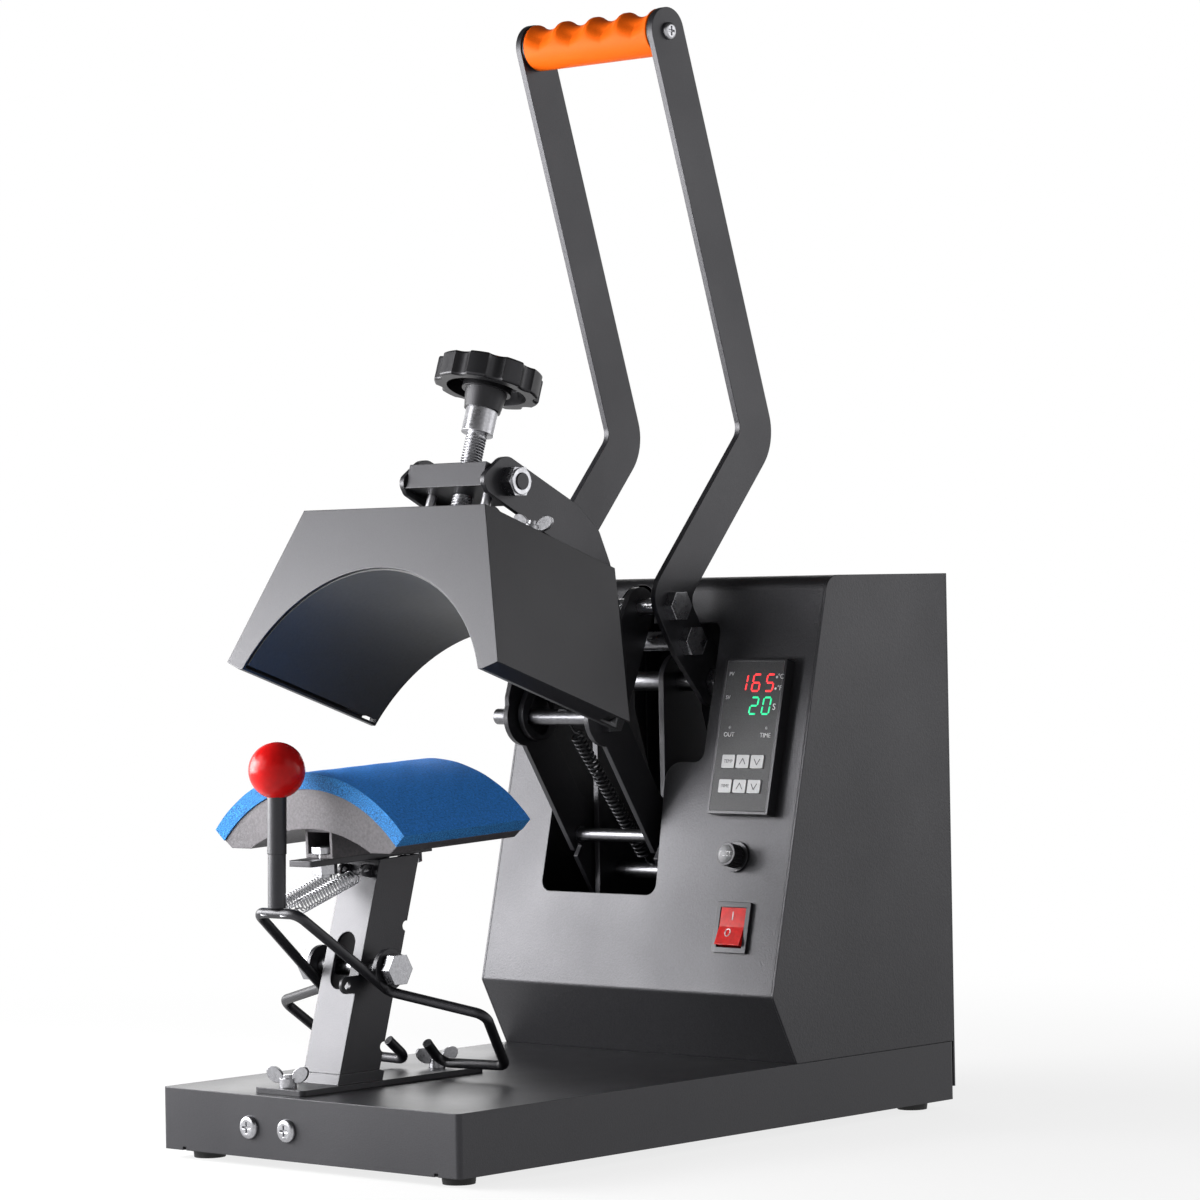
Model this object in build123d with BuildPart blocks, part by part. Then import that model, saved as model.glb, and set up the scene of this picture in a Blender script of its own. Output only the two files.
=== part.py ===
"""Cap heat press: a curved heated platen on a swinging head, closed over a curved pad by a long handle.

Millimetres, +Z up, -Y is the operator's side. Everything is drawn from the middle of the base, and moved at the
end so that the origin is on the bench, under the middle of the whole press.
"""

from build123d import *
from math import acos, asin, atan2, cos, degrees, hypot, pi, radians, sin, sqrt
import os

os.makedirs("parts", exist_ok=True)

# ---------------------------------------------------------------- driving dimensions
SHEET = 1.5  # folded sheet steel
PLATE = 4.0  # flat steel plate
RUN = 0.05  # radial clearance of a running fit
FACE_GAP = 0.3  # side play between moving faces

# base tray and feet
BASE_W = 240.0
BASE_L = 446.0
BASE_H = 36.0
BASE_CORNER = 3.0
BASE_LIP = 34.0
FOOT_H = 5.5
FOOT_R = 10.0
FOOT_INSET = 19.0
FOOT_SCREW_R = 2.5

# tower, in side view: foot, crease, top of the slanted front, back
TOWER_STEP = 0.5
TOWER_FOOT_Y = 69.7
CREASE_Y = 48.0
CREASE_H = 41.5
TOWER_TOP_Y = 107.2
TOWER_H = 292.4
TOP_BEND_R = 11.0
TOWER_TOP_FLANGE = 12.0

# centre line of the mechanism, left of the base's own centre
MID_X = -31.0

# from the middle of the base to the middle of the whole press
ROW_SHIFT = (11.5, -0.405, 0)

# opening in the slanted front, up the slope from the crease
OPEN_LOW = 58.1
OPEN_STEP = 141.5
OPEN_TOP = 229.0
OPEN_LEFT = 48.3
OPEN_RIGHT_LOW = 47.0
OPEN_RIGHT_HIGH = 41.2
OPEN_HALF_WIDE = 71.2
OPEN_CORNER = 7.0
OPEN_STEP_R = 12.0
OPEN_ARCH_R = 15.5
OPEN_ARCH_RISE = 25.0

# pivots of the linkage, rest pose, heights above the bench
LOW_PIVOT = (145.0, 105.5)
LEVER_PIVOT = (110.0, 269.5)
HEAD_PIN = (34.0, 249.5)
LEVER_PIN = (72.4, 316.6)
LEVER_BOLT = (86.0, 294.9)
HEAD_SWING = 21.1
PIN_R = 5.0
LOW_PIN_R = 6.0
HEX_AF = 17.0
HEX_H = 6.4
NUT_H = 8.0

# plate positions either side of the centre line
FRAME_X = 28.0
ARM_X = 33.5
ARM_T = 3.5
LEVER_X = 55.0

# head: its own frame starts at the front lower edge of the platen and leans with it
HEAD_PITCH = 18.8
PLATEN_FRONT_Y = -144.0
PLATEN_FRONT_Z = 287.8
PLATEN_DEPTH = 118.0
PLATEN_H = 95.4
PLATEN_HALF_LOW = 112.0
PLATEN_HALF_TOP = 75.0
PLATEN_LIP = 11.8
ELEMENT_T = 8.0
ELEMENT_HALF = 95.0
ELEMENT_APEX = 57.0
CAP_CLOTH = 1.5

# pressure screw, crossbar and knob
SCREW_Y = 55.0
SCREW_R = 6.0
THREAD_PITCH = 1.75
CROSSBAR_LOW = 121.0
CROSSBAR_H = 15.0
CROSSBAR_DEPTH = 37.0
COLLAR_R = 9.8
COLLAR_LOW = 161.0
COLLAR_H = 15.0
KNOB_R = 32.4
KNOB_LOW = 188.0
KNOB_H = 15.5
KNOB_HUB_R = 13.0
KNOB_LOBES = 9
STUD_X = 23.0
STUD_R = 3.0
STUD_Y = 52.0
STUD_TOP = 132.0
COVER_STUD_X = 62.0

# handle
LEVER_W = 29.6
LEVER_T = 4.0
GRIP_AT = (76.5, 669.5)
LEVER_BEND = (156.0, 421.6)
LEVER_KNEE = (69.0, 322.0)
LEVER_TAIL = (97.5, 277.0)
GRIP_R = 14.5
GRIP_WASHER = 1.5
GRIP_GROOVES = 4
GRIP_SCREW_R = 5.4
LEVER_LOBE_R = 16.0

# pad and its pedestal
PAD_R = 105.0
PAD_T = 9.5
PAD_HALF = 78.0
PAD_DEPTH = 105.0
PAD_MID_Y = -134.5
PAD_PITCH = 2.3
PAD_APEX = 50.4
BAR_TOP_Z = 176.6
BAR_W = 20.0
BAR_T = 3.5
BAR_L = 100.0
BODY_ARC_R = 104.0
BODY_ARC_APEX = 17.6
BODY_FOOT = 5.0
COLUMN_W = 30.0
COLUMN_D = 31.0
COLUMN_T = 2.0
COLUMN_LEAN = 16.4
COLUMN_FRONT_Y = -181.0
FOOTPLATE_W = 40.0
FOOTPLATE_FRONT = -215.0
FOOTPLATE_REAR = -64.5
FOOTPLATE_T = 3.4

# cap holder: a bent wire with a ball lever, on a bolt through the column
BAIL_PIVOT = (-151.0, 109.8)
BAIL_ROD_R = 3.0
BAIL_SWING = 25.0
POST_R = 5.2
BALL_R = 16.4
SPRING_R = 4.4
SPRING_WIRE_R = 0.5

# controls on the slanted front
CONTROL_X = 79.1
CONTROL_V = 156.6
CONTROL_W = 48.0
CONTROL_H = 96.0
CONTROL_PROUD = 8.0
CONTROL_DEEP = 60.0
CONTROL_BODY_W = 44.0
CONTROL_BODY_H = 91.0
BUTTON_W = 10.0
BUTTON_H = 8.2
BUTTON_PROUD = 0.8
BUTTON_TRAVEL = 0.5
FUSE_X = 77.5
FUSE_V = 83.6
FUSE_CAP_R = 7.2
FUSE_FLANGE_R = 9.4
FUSE_BODY_R = 6.0
SWITCH_X = 81.6
SWITCH_V = 40.5
SWITCH_W = 26.5
SWITCH_H = 31.0
SWITCH_BODY_W = 22.5
SWITCH_BODY_H = 27.0
ROCKER_TURN = 14.0

# ---------------------------------------------------------------- worked-out sizes
TOWER_W = BASE_W - 2 * TOWER_STEP
BASE_TOP = FOOT_H + BASE_H
REAR_Y = BASE_L / 2
CREASE_Z = BASE_TOP + CREASE_H
TOWER_TOP_Z = BASE_TOP + TOWER_H
PANEL_LEAN = degrees(atan2(TOWER_TOP_Y - CREASE_Y, TOWER_TOP_Z - CREASE_Z))
PANEL_LEN = hypot(TOWER_TOP_Y - CREASE_Y, TOWER_TOP_Z - CREASE_Z)
ELEMENT_R = PAD_R + CAP_CLOTH
ELEMENT_MID_Z = ELEMENT_APEX - ELEMENT_R
SHELL_ARCH_R = ELEMENT_R + 1.0
SIDE_SLOPE = degrees(atan2(PLATEN_HALF_LOW - PLATEN_HALF_TOP, PLATEN_H))

# ---------------------------------------------------------------- working planes
PANEL = Plane(
    origin=(0, CREASE_Y, CREASE_Z),
    x_dir=(1, 0, 0),
    z_dir=(0, -cos(radians(PANEL_LEAN)), sin(radians(PANEL_LEAN))),
)
HEAD = Plane(
    origin=(MID_X, PLATEN_FRONT_Y, PLATEN_FRONT_Z),
    x_dir=(1, 0, 0),
    z_dir=(0, sin(radians(HEAD_PITCH)), cos(radians(HEAD_PITCH))),
)
PAD = Plane(
    origin=(MID_X, PAD_MID_Y, BAR_TOP_Z),
    x_dir=(1, 0, 0),
    z_dir=(0, -sin(radians(PAD_PITCH)), cos(radians(PAD_PITCH))),
)
COLUMN = Plane(
    origin=(MID_X, COLUMN_FRONT_Y + COLUMN_D / 2, BASE_TOP + FOOTPLATE_T),
    x_dir=(1, 0, 0),
    z_dir=(0, sin(radians(COLUMN_LEAN)), cos(radians(COLUMN_LEAN))),
)


def side_plane(x):
    """Sketch plane across the machine at x; its own axes are Y and Z."""
    return Plane.YZ.offset(x)


def head_point(along, up):
    """World (y, z) of a point given in the head's side view."""
    point = HEAD.from_local_coords((0, along, up))
    return (point.Y, point.Z)


def keep(piece, label):
    """Move a finished piece to the row's origin, label it and write it."""
    placed = piece.part.moved(Location(ROW_SHIFT))
    placed.label = label
    export_step(placed, f"parts/{label}.step")


def turned(point, centre, angle):
    """A (y, z) point turned about a (y, z) centre, +Y towards +Z."""
    dy, dz = point[0] - centre[0], point[1] - centre[1]
    c, s = cos(radians(angle)), sin(radians(angle))
    return (centre[0] + c * dy - s * dz, centre[1] + s * dy + c * dz)


def band(points, half):
    """Outline of a strip of constant width that follows a line of (y, z) points."""
    left, right = [], []
    for i, point in enumerate(points):
        before = points[max(i - 1, 0)]
        after = points[min(i + 1, len(points) - 1)]
        a_in = atan2(point[1] - before[1], point[0] - before[0]) if i else None
        a_out = atan2(after[1] - point[1], after[0] - point[0]) if i < len(points) - 1 else a_in
        a_in = a_out if a_in is None else a_in
        middle = (a_in + a_out) / 2
        reach = half / cos((a_out - a_in) / 2)
        left.append((point[0] - reach * sin(middle), point[1] + reach * cos(middle)))
        right.append((point[0] + reach * sin(middle), point[1] - reach * cos(middle)))
    return left + right[::-1]


def rods(plane, spots, radius, length, mode=Mode.ADD):
    """Round rods standing on a plane, or holes through it."""
    with BuildSketch(plane, mode=Mode.PRIVATE) as outline:
        with Locations(*spots):
            Circle(radius)
    extrude(outline.sketch, amount=length, mode=mode)


def blocks(plane, spots, across, along, length, mode=Mode.ADD):
    """Rectangular blocks standing on a plane, or pockets in it."""
    with BuildSketch(plane, mode=Mode.PRIVATE) as outline:
        with Locations(*spots):
            Rectangle(across, along)
    extrude(outline.sketch, amount=length, mode=mode)


def hexes(plane, spots, flats, length, mode=Mode.ADD):
    """Hexagon heads or nuts standing on a plane."""
    with BuildSketch(plane, mode=Mode.PRIVATE) as outline:
        with Locations(*spots):
            RegularPolygon(flats / 2, 6, major_radius=False)
    extrude(outline.sketch, amount=length, mode=mode)


def pin(point, radius, low, high, mode=Mode.ADD):
    """Rod along X at a (y, z) point, between two distances from the mechanism's centre line."""
    rods(side_plane(MID_X + low), [point], radius, high - low, mode)


def tube(point, outer, inner, low, high):
    """Spacer tube along X."""
    pin(point, outer, low, high)
    pin(point, inner, low, high, Mode.SUBTRACT)


def cross_bolt(point, radius, head_face, nut_face, tail=3.0):
    """Hexagon bolt along X: head on the right, nut and a little thread on the left."""
    pin(point, radius, nut_face - NUT_H - tail, head_face)
    hexes(side_plane(MID_X + head_face), [point], HEX_AF, HEX_H)
    hexes(side_plane(MID_X + nut_face), [point], HEX_AF, -NUT_H)


def plate(points, radii, low, high, mode=Mode.ADD):
    """Flat plate across X from a rounded (y, z) outline."""
    with BuildSketch(side_plane(MID_X + low), mode=Mode.PRIVATE) as outline:
        with BuildLine():
            FilletPolyline(*points, radius=radii, close=True)
        make_face()
    extrude(outline.sketch, amount=high - low, mode=mode)


def strap(first, first_r, second, second_r, low, high):
    """Flat link whose outline wraps two circles."""
    with BuildSketch(side_plane(MID_X + low), mode=Mode.PRIVATE) as outline:
        with Locations(first):
            Circle(first_r)
        with Locations(second):
            Circle(second_r)
        make_hull()
    extrude(outline.sketch, amount=high - low)


def wing_nut(plane, spot, turn):
    """Wing nut standing on a plane, turned about its own axis."""
    ears = plane.x_dir * cos(radians(turn)) + plane.y_dir * sin(radians(turn))
    seat = Plane(origin=plane.from_local_coords((*spot, 0)), x_dir=ears, z_dir=plane.z_dir)
    rods(seat, [(0, 0)], WING_HUB_R, WING_HUB_H)
    upright = Plane(origin=seat.origin, x_dir=seat.x_dir, z_dir=-seat.y_dir)
    with BuildSketch(upright.offset(-WING_T / 2), mode=Mode.PRIVATE) as wings:
        for side in (-1, 1):
            with Locations((side * WING_REACH, WING_RISE)):
                Ellipse(WING_LONG, WING_SHORT, rotation=side * WING_SPLAY)
    extrude(wings.sketch, amount=WING_T)
    rods(seat, [(0, 0)], FOOTPLATE_STUD_R + RUN, 3 * WING_HUB_H, Mode.SUBTRACT)


# ---------------------------------------------------------------- base tray and feet
FOOT_NECK_R = 4.0
FOOT_BEAD_R = 5.2
FOOT_BEAD_H = 2.0
FRONT_SCREW_Z = FOOT_H + 17.3
FRONT_SCREW_SPACING = 30.8
FRONT_SCREW_R = 3.0
FRONT_SCREW_HEAD_R = 6.8
FRONT_SCREW_HEAD_H = 3.0
FRONT_NUT_AF = 10.0
FRONT_NUT_H = 5.0
FOOTPLATE_STUD_R = 3.0
FOOTPLATE_STUDS = ((MID_X, -207.0), (MID_X, -84.4))
FOOTPLATE_NUT_TURNS = (20.0, 65.0)
WING_HUB_R = 5.0
WING_HUB_H = 5.5
WING_T = 2.4
WING_REACH = 8.0
WING_RISE = 7.5
WING_LONG = 5.6
WING_SHORT = 4.0
WING_SPLAY = 40.0
FRAME_FLANGE_W = 18.0
FRAME_FLANGE_X = FRAME_X - PLATE / 2 - FRAME_FLANGE_W / 2
FRAME_BOLT_R = 3.0
FRAME_BOLT_AF = 10.0
FRAME_BOLT_HEAD = 4.0
FRAME_BOLTS_Y = (112.0, 160.0)
PANEL_SCREW_R = 1.8
PANEL_SCREW_HEAD_R = 3.6
PANEL_SCREW_HEAD_H = 2.0
PANEL_SCREW_X = TOWER_W / 2 - 9
PANEL_SCREW_LOW = FOOT_H + 20
PANEL_SCREWS_Z = (PANEL_SCREW_LOW, 90.0, 200.0, 310.0)
NOTCH_W = 3.0
NOTCH_H = 2.0
NOTCH_INSET = 18.0

FRONT_FACE = Plane.XZ.offset(BASE_L / 2)
BACK_FACE = Plane.XZ.offset(-BASE_L / 2)
TRAY_FLOOR = Plane.XY.offset(FOOT_H)
TRAY_TOP = Plane.XY.offset(BASE_TOP)
foot_x = BASE_W / 2 - FOOT_INSET
foot_y = BASE_L / 2 - FOOT_INSET
foot_spots = [(side * foot_x, end * foot_y) for side in (-1, 1) for end in (-1, 1)]
front_screws_at = [(MID_X + side * FRONT_SCREW_SPACING / 2, FRONT_SCREW_Z) for side in (-1, 1)]
frame_bolts_at = [(MID_X + side * FRAME_FLANGE_X, y) for side in (-1, 1) for y in FRAME_BOLTS_Y]
panel_screws_at = [(side * PANEL_SCREW_X, z) for side in (-1, 1) for z in PANEL_SCREWS_Z]
low_panel_screws_at = [spot for spot in panel_screws_at if spot[1] == PANEL_SCREW_LOW]
notches_at = [(side * (BASE_W / 2 - NOTCH_INSET), FOOT_H + NOTCH_H / 2) for side in (-1, 1)]

with BuildPart() as base_tray:
    with BuildSketch(TRAY_FLOOR):
        RectangleRounded(BASE_W, BASE_L, BASE_CORNER)
    extrude(amount=BASE_H)
    with BuildSketch(TRAY_FLOOR.offset(SHEET)):
        RectangleRounded(BASE_W - 2 * SHEET, BASE_L - 2 * SHEET, BASE_CORNER - SHEET)
    extrude(amount=BASE_H - 2 * SHEET, mode=Mode.SUBTRACT)
    with BuildSketch(TRAY_FLOOR):
        RectangleRounded(BASE_W - 2 * BASE_LIP, BASE_L - 2 * BASE_LIP, BASE_CORNER)
    extrude(amount=SHEET, mode=Mode.SUBTRACT)
    rods(TRAY_FLOOR, foot_spots, FOOT_NECK_R + RUN, SHEET, Mode.SUBTRACT)
    rods(TRAY_TOP, FOOTPLATE_STUDS, FOOTPLATE_STUD_R + RUN, -2 * SHEET, Mode.SUBTRACT)
    rods(TRAY_TOP, frame_bolts_at, FRAME_BOLT_R + RUN, -2 * SHEET, Mode.SUBTRACT)
    rods(FRONT_FACE, front_screws_at, FRONT_SCREW_R + RUN, -2 * SHEET, Mode.SUBTRACT)
    blocks(FRONT_FACE, notches_at, NOTCH_W, NOTCH_H, -SHEET, Mode.SUBTRACT)
    rods(BACK_FACE, low_panel_screws_at, PANEL_SCREW_R + RUN, 2 * SHEET, Mode.SUBTRACT)
keep(base_tray, "base_tray")

with BuildPart() as rubber_feet:
    with BuildSketch(TRAY_FLOOR):
        with Locations(*foot_spots):
            Circle(FOOT_R)
    extrude(amount=-FOOT_H, taper=8)
    rods(TRAY_FLOOR, foot_spots, FOOT_NECK_R, SHEET + FOOT_BEAD_H)
    rods(TRAY_FLOOR.offset(SHEET), foot_spots, FOOT_BEAD_R, FOOT_BEAD_H)
    rods(Plane.XY, foot_spots, FOOT_NECK_R / 2, FOOT_H, Mode.SUBTRACT)
keep(rubber_feet, "rubber_feet")

with BuildPart() as front_screws:
    rods(FRONT_FACE, front_screws_at, FRONT_SCREW_R, -(SHEET + FRONT_NUT_H + 2))
    with BuildSketch(FRONT_FACE):
        with Locations(*front_screws_at):
            Circle(FRONT_SCREW_HEAD_R)
    extrude(amount=FRONT_SCREW_HEAD_H)
    fillet(front_screws.edges().group_by(Axis.Y)[0], FRONT_SCREW_HEAD_H * 0.8)
    for spot in front_screws_at:
        blocks(FRONT_FACE.offset(FRONT_SCREW_HEAD_H), [spot], 6.5, 1.3, -1.4, Mode.SUBTRACT)
        blocks(FRONT_FACE.offset(FRONT_SCREW_HEAD_H), [spot], 1.3, 6.5, -1.4, Mode.SUBTRACT)
    hexes(FRONT_FACE.offset(-SHEET), front_screws_at, FRONT_NUT_AF, -FRONT_NUT_H)
keep(front_screws, "front_screws")

# ---------------------------------------------------------------- tower
CREASE_R = 3.0
TOWER_HEM = 12.0
TOWER_REAR_GAP = 4.0
SIDE_RETURN_W = 16.0
SIDE_RETURN_END = 14.0
SEAM = 0.1
VENT_W = 42.0
VENT_H = 4.0
VENT_PITCH = 10.0
VENT_ROWS = 8
VENT_Z = 245.0
VENT_X = 48.0
BUSH_AT = (-70.0, 78.0)
BUSH_NECK_R = 9.0
BUSH_FLANGE_R = 12.5
BUSH_FLANGE_H = 4.0
BUSH_BORE_R = 5.0
PANEL_CUT = 6 * SHEET

TOWER_PROFILE = [
    (TOWER_FOOT_Y, BASE_TOP),
    (CREASE_Y, CREASE_Z),
    (TOWER_TOP_Y, TOWER_TOP_Z),
]
side_inner = TOWER_W / 2 - SHEET
cover_half = side_inner - SEAM


def tower_sheet(x, thickness, rear_gap, hem=0.0):
    """Flat sheet across X in the shape of the tower's side; a hem width keeps only a strip along its edge."""
    with BuildSketch(side_plane(x), mode=Mode.PRIVATE) as outline:
        with BuildLine():
            slope = FilletPolyline(*TOWER_PROFILE, (REAR_Y - rear_gap, TOWER_TOP_Z), radius=[CREASE_R, TOP_BEND_R])
            Polyline(slope @ 1, (REAR_Y - rear_gap, BASE_TOP), slope @ 0)
        make_face()
        if hem:
            offset(amount=-hem, kind=Kind.INTERSECTION, mode=Mode.SUBTRACT)
    extrude(outline.sketch, amount=thickness)


opening_outline = [
    (MID_X - OPEN_LEFT, OPEN_LOW),
    (MID_X + OPEN_RIGHT_LOW, OPEN_LOW),
    (MID_X + OPEN_RIGHT_HIGH, OPEN_STEP),
    (MID_X + OPEN_HALF_WIDE, OPEN_STEP),
    (MID_X + OPEN_HALF_WIDE, OPEN_TOP),
    (MID_X - OPEN_HALF_WIDE, OPEN_TOP),
    (MID_X - OPEN_HALF_WIDE, OPEN_STEP),
    (MID_X - OPEN_LEFT, OPEN_STEP),
]
opening_radii = [OPEN_CORNER, OPEN_CORNER, OPEN_STEP_R] + [OPEN_CORNER] * 5

with BuildPart() as tower_cover:
    with BuildSketch(side_plane(-cover_half)):
        with BuildLine():
            FilletPolyline(*TOWER_PROFILE, (REAR_Y, TOWER_TOP_Z), radius=[CREASE_R, TOP_BEND_R])
            offset(amount=SHEET, side=Side.RIGHT)
        make_face()
    extrude(amount=2 * cover_half)
    tower_sheet(-cover_half, SHEET, TOWER_REAR_GAP, TOWER_HEM)
    tower_sheet(cover_half - SHEET, SHEET, TOWER_REAR_GAP, TOWER_HEM)
    with BuildSketch(PANEL):
        with BuildLine():
            FilletPolyline(*opening_outline, radius=opening_radii, close=True)
        make_face()
        with Locations((MID_X, OPEN_TOP + (OPEN_ARCH_RISE - OPEN_ARCH_R) / 2)):
            Rectangle(2 * OPEN_ARCH_R, OPEN_ARCH_RISE - OPEN_ARCH_R + 2)
        with Locations((MID_X, OPEN_TOP + OPEN_ARCH_RISE - OPEN_ARCH_R)):
            Circle(OPEN_ARCH_R)
    extrude(amount=-PANEL_CUT, mode=Mode.SUBTRACT)
    blocks(PANEL, [(CONTROL_X, CONTROL_V)], CONTROL_BODY_W + SEAM, CONTROL_BODY_H + SEAM, -PANEL_CUT, Mode.SUBTRACT)
    rods(PANEL, [(FUSE_X, FUSE_V)], FUSE_BODY_R + RUN, -PANEL_CUT, Mode.SUBTRACT)
    blocks(PANEL, [(SWITCH_X, SWITCH_V)], SWITCH_BODY_W + SEAM, SWITCH_BODY_H + SEAM, -PANEL_CUT, Mode.SUBTRACT)
keep(tower_cover, "tower_cover")

for side, label in ((-1, "side_panel_left"), (1, "side_panel_right")):
    with BuildPart() as side_panel:
        tower_sheet(side_inner if side > 0 else -side_inner - SHEET, SHEET, 0)
        with BuildSketch(Plane.XZ.offset(-REAR_Y)):
            low = BASE_TOP + SIDE_RETURN_END
            high = TOWER_TOP_Z - SIDE_RETURN_END
            with Locations((side * (side_inner - SIDE_RETURN_W / 2 + SHEET / 2), (low + high) / 2)):
                Rectangle(SIDE_RETURN_W + SHEET, high - low)
        extrude(amount=SHEET)
        rods(Plane.XZ.offset(-REAR_Y), panel_screws_at, PANEL_SCREW_R + RUN, SHEET, Mode.SUBTRACT)
    keep(side_panel, label)

with BuildPart() as rear_panel:
    with BuildSketch(Plane.XZ.offset(-REAR_Y)):
        with Locations((0, (FOOT_H + 8 + TOWER_TOP_Z) / 2)):
            Rectangle(TOWER_W, TOWER_TOP_Z - FOOT_H - 8)
    extrude(amount=-SHEET)
    with BuildSketch(Plane.XZ.offset(-REAR_Y)):
        for side in (-1, 1):
            with Locations((side * VENT_X, VENT_Z)):
                with GridLocations(VENT_W, VENT_PITCH, 1, VENT_ROWS):
                    SlotOverall(VENT_W, VENT_H)
    extrude(amount=-SHEET, mode=Mode.SUBTRACT)
    rods(Plane.XZ.offset(-REAR_Y), panel_screws_at, PANEL_SCREW_R + RUN, -SHEET, Mode.SUBTRACT)
    rods(Plane.XZ.offset(-REAR_Y), [BUSH_AT], BUSH_NECK_R + RUN, -SHEET, Mode.SUBTRACT)
keep(rear_panel, "rear_panel")

with BuildPart() as panel_screws:
    rods(Plane.XZ.offset(-REAR_Y - SHEET), panel_screws_at, PANEL_SCREW_R, 4 * SHEET)
    with BuildSketch(Plane.XZ.offset(-REAR_Y - SHEET)):
        with Locations(*panel_screws_at):
            Circle(PANEL_SCREW_HEAD_R)
    extrude(amount=-PANEL_SCREW_HEAD_H)
    fillet(panel_screws.edges().group_by(Axis.Y)[-1], PANEL_SCREW_HEAD_H * 0.7)
    for spot in panel_screws_at:
        outer_face = Plane.XZ.offset(-REAR_Y - SHEET - PANEL_SCREW_HEAD_H)
        blocks(outer_face, [spot], 3.6, 0.8, 1.0, Mode.SUBTRACT)
        blocks(outer_face, [spot], 0.8, 3.6, 1.0, Mode.SUBTRACT)
keep(panel_screws, "panel_screws")

with BuildPart() as cord_bush:
    rods(Plane.XZ.offset(-REAR_Y - SHEET), [BUSH_AT], BUSH_FLANGE_R, -BUSH_FLANGE_H)
    rods(Plane.XZ.offset(-REAR_Y - SHEET), [BUSH_AT], BUSH_NECK_R, 2 * BUSH_FLANGE_H)
    rods(Plane.XZ.offset(-REAR_Y - SHEET - BUSH_FLANGE_H), [BUSH_AT], BUSH_BORE_R, 3 * BUSH_FLANGE_H, Mode.SUBTRACT)
keep(cord_bush, "cord_bush")

# ---------------------------------------------------------------- frame plates inside the tower and their rods
FRAME_FRONT = 92.0
FRAME_REAR = 175.0
FRAME_HEAD_R = 18.0
FRAME_CORNER = 6.0
ROD_R = 4.0
ANCHOR_R = 5.0
ANCHOR_AT = (112.0, 150.4)
LOW_TUBE_R = 9.0
LEVER_TUBE_R = 6.0
frame_in = FRAME_X - PLATE / 2
frame_out = FRAME_X + PLATE / 2
arm_in = ARM_X - ARM_T / 2
arm_out = ARM_X + ARM_T / 2
lever_in = LEVER_X - LEVER_T / 2
lever_out = LEVER_X + LEVER_T / 2

frame_outline = [
    (FRAME_FRONT, BASE_TOP),
    (FRAME_FRONT, LEVER_PIVOT[1] + FRAME_HEAD_R),
    (LEVER_PIVOT[0] + FRAME_HEAD_R, LEVER_PIVOT[1] + FRAME_HEAD_R),
    (LEVER_PIVOT[0] + FRAME_HEAD_R, LEVER_PIVOT[1] - FRAME_HEAD_R),
    (FRAME_REAR, LOW_PIVOT[1]),
    (FRAME_REAR, BASE_TOP),
]
frame_radii = [0.5, FRAME_HEAD_R - 0.5, FRAME_HEAD_R - 0.5, FRAME_CORNER, FRAME_CORNER, 0.5]

for side, label in ((-1, "frame_plate_left"), (1, "frame_plate_right")):
    low, high = sorted((side * frame_in, side * frame_out))
    with BuildPart() as frame_plate:
        plate(frame_outline, frame_radii, low, high)
        with BuildSketch(TRAY_TOP):
            with Locations((MID_X + side * FRAME_FLANGE_X, (FRAME_FRONT + FRAME_REAR) / 2)):
                Rectangle(FRAME_FLANGE_W, FRAME_REAR - FRAME_FRONT)
        extrude(amount=PLATE)
        rods(TRAY_TOP, frame_bolts_at, FRAME_BOLT_R + RUN, PLATE, Mode.SUBTRACT)
        pin(LOW_PIVOT, LOW_PIN_R + RUN, low, high, Mode.SUBTRACT)
        pin(LEVER_PIVOT, PIN_R + RUN, low, high, Mode.SUBTRACT)
        pin(ANCHOR_AT, ANCHOR_R + RUN, low, high, Mode.SUBTRACT)
    keep(frame_plate, label)

with BuildPart() as frame_bolts:
    rods(TRAY_TOP.offset(PLATE), frame_bolts_at, FRAME_BOLT_R, -(PLATE + SHEET + FRONT_NUT_H + 2))
    hexes(TRAY_TOP.offset(PLATE), frame_bolts_at, FRAME_BOLT_AF, FRAME_BOLT_HEAD)
    hexes(TRAY_TOP.offset(-SHEET), frame_bolts_at, FRAME_BOLT_AF, -FRONT_NUT_H)
keep(frame_bolts, "frame_bolts")

with BuildPart() as pivot_bolts:
    cross_bolt(LOW_PIVOT, LOW_PIN_R, arm_out + FACE_GAP, -arm_out - FACE_GAP)
    cross_bolt(LEVER_PIVOT, PIN_R, lever_out + FACE_GAP, -lever_out - FACE_GAP)
keep(pivot_bolts, "pivot_bolts")

with BuildPart() as frame_rods:
    tube(LOW_PIVOT, LOW_TUBE_R, LOW_PIN_R + RUN, -frame_in, frame_in)
    tube(LEVER_PIVOT, LEVER_TUBE_R, PIN_R + RUN, -frame_in, frame_in)
    tube(LEVER_PIVOT, LEVER_TUBE_R, PIN_R + RUN, frame_out, lever_in - FACE_GAP)
    tube(LEVER_PIVOT, LEVER_TUBE_R, PIN_R + RUN, -lever_in + FACE_GAP, -frame_out)
    pin(ANCHOR_AT, ANCHOR_R, -frame_out, frame_out)
keep(frame_rods, "frame_rods")

# ---------------------------------------------------------------- controller
FACE_T = 1.0
FACE_RIM = 2.0
BUTTON_COLUMNS = (-11.3, 0.0, 11.3)
BUTTON_ROWS = (-31.1, -15.9)
BUTTON_WELL = 4.0
BUTTON_SLACK = 0.15
BODY_EDGE_R = 1.2

button_spots = [(CONTROL_X + dx, CONTROL_V + dv) for dv in BUTTON_ROWS[::-1] for dx in BUTTON_COLUMNS]
button_holes = (BUTTON_W + 2 * BUTTON_SLACK, BUTTON_H + 2 * BUTTON_SLACK)

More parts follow.
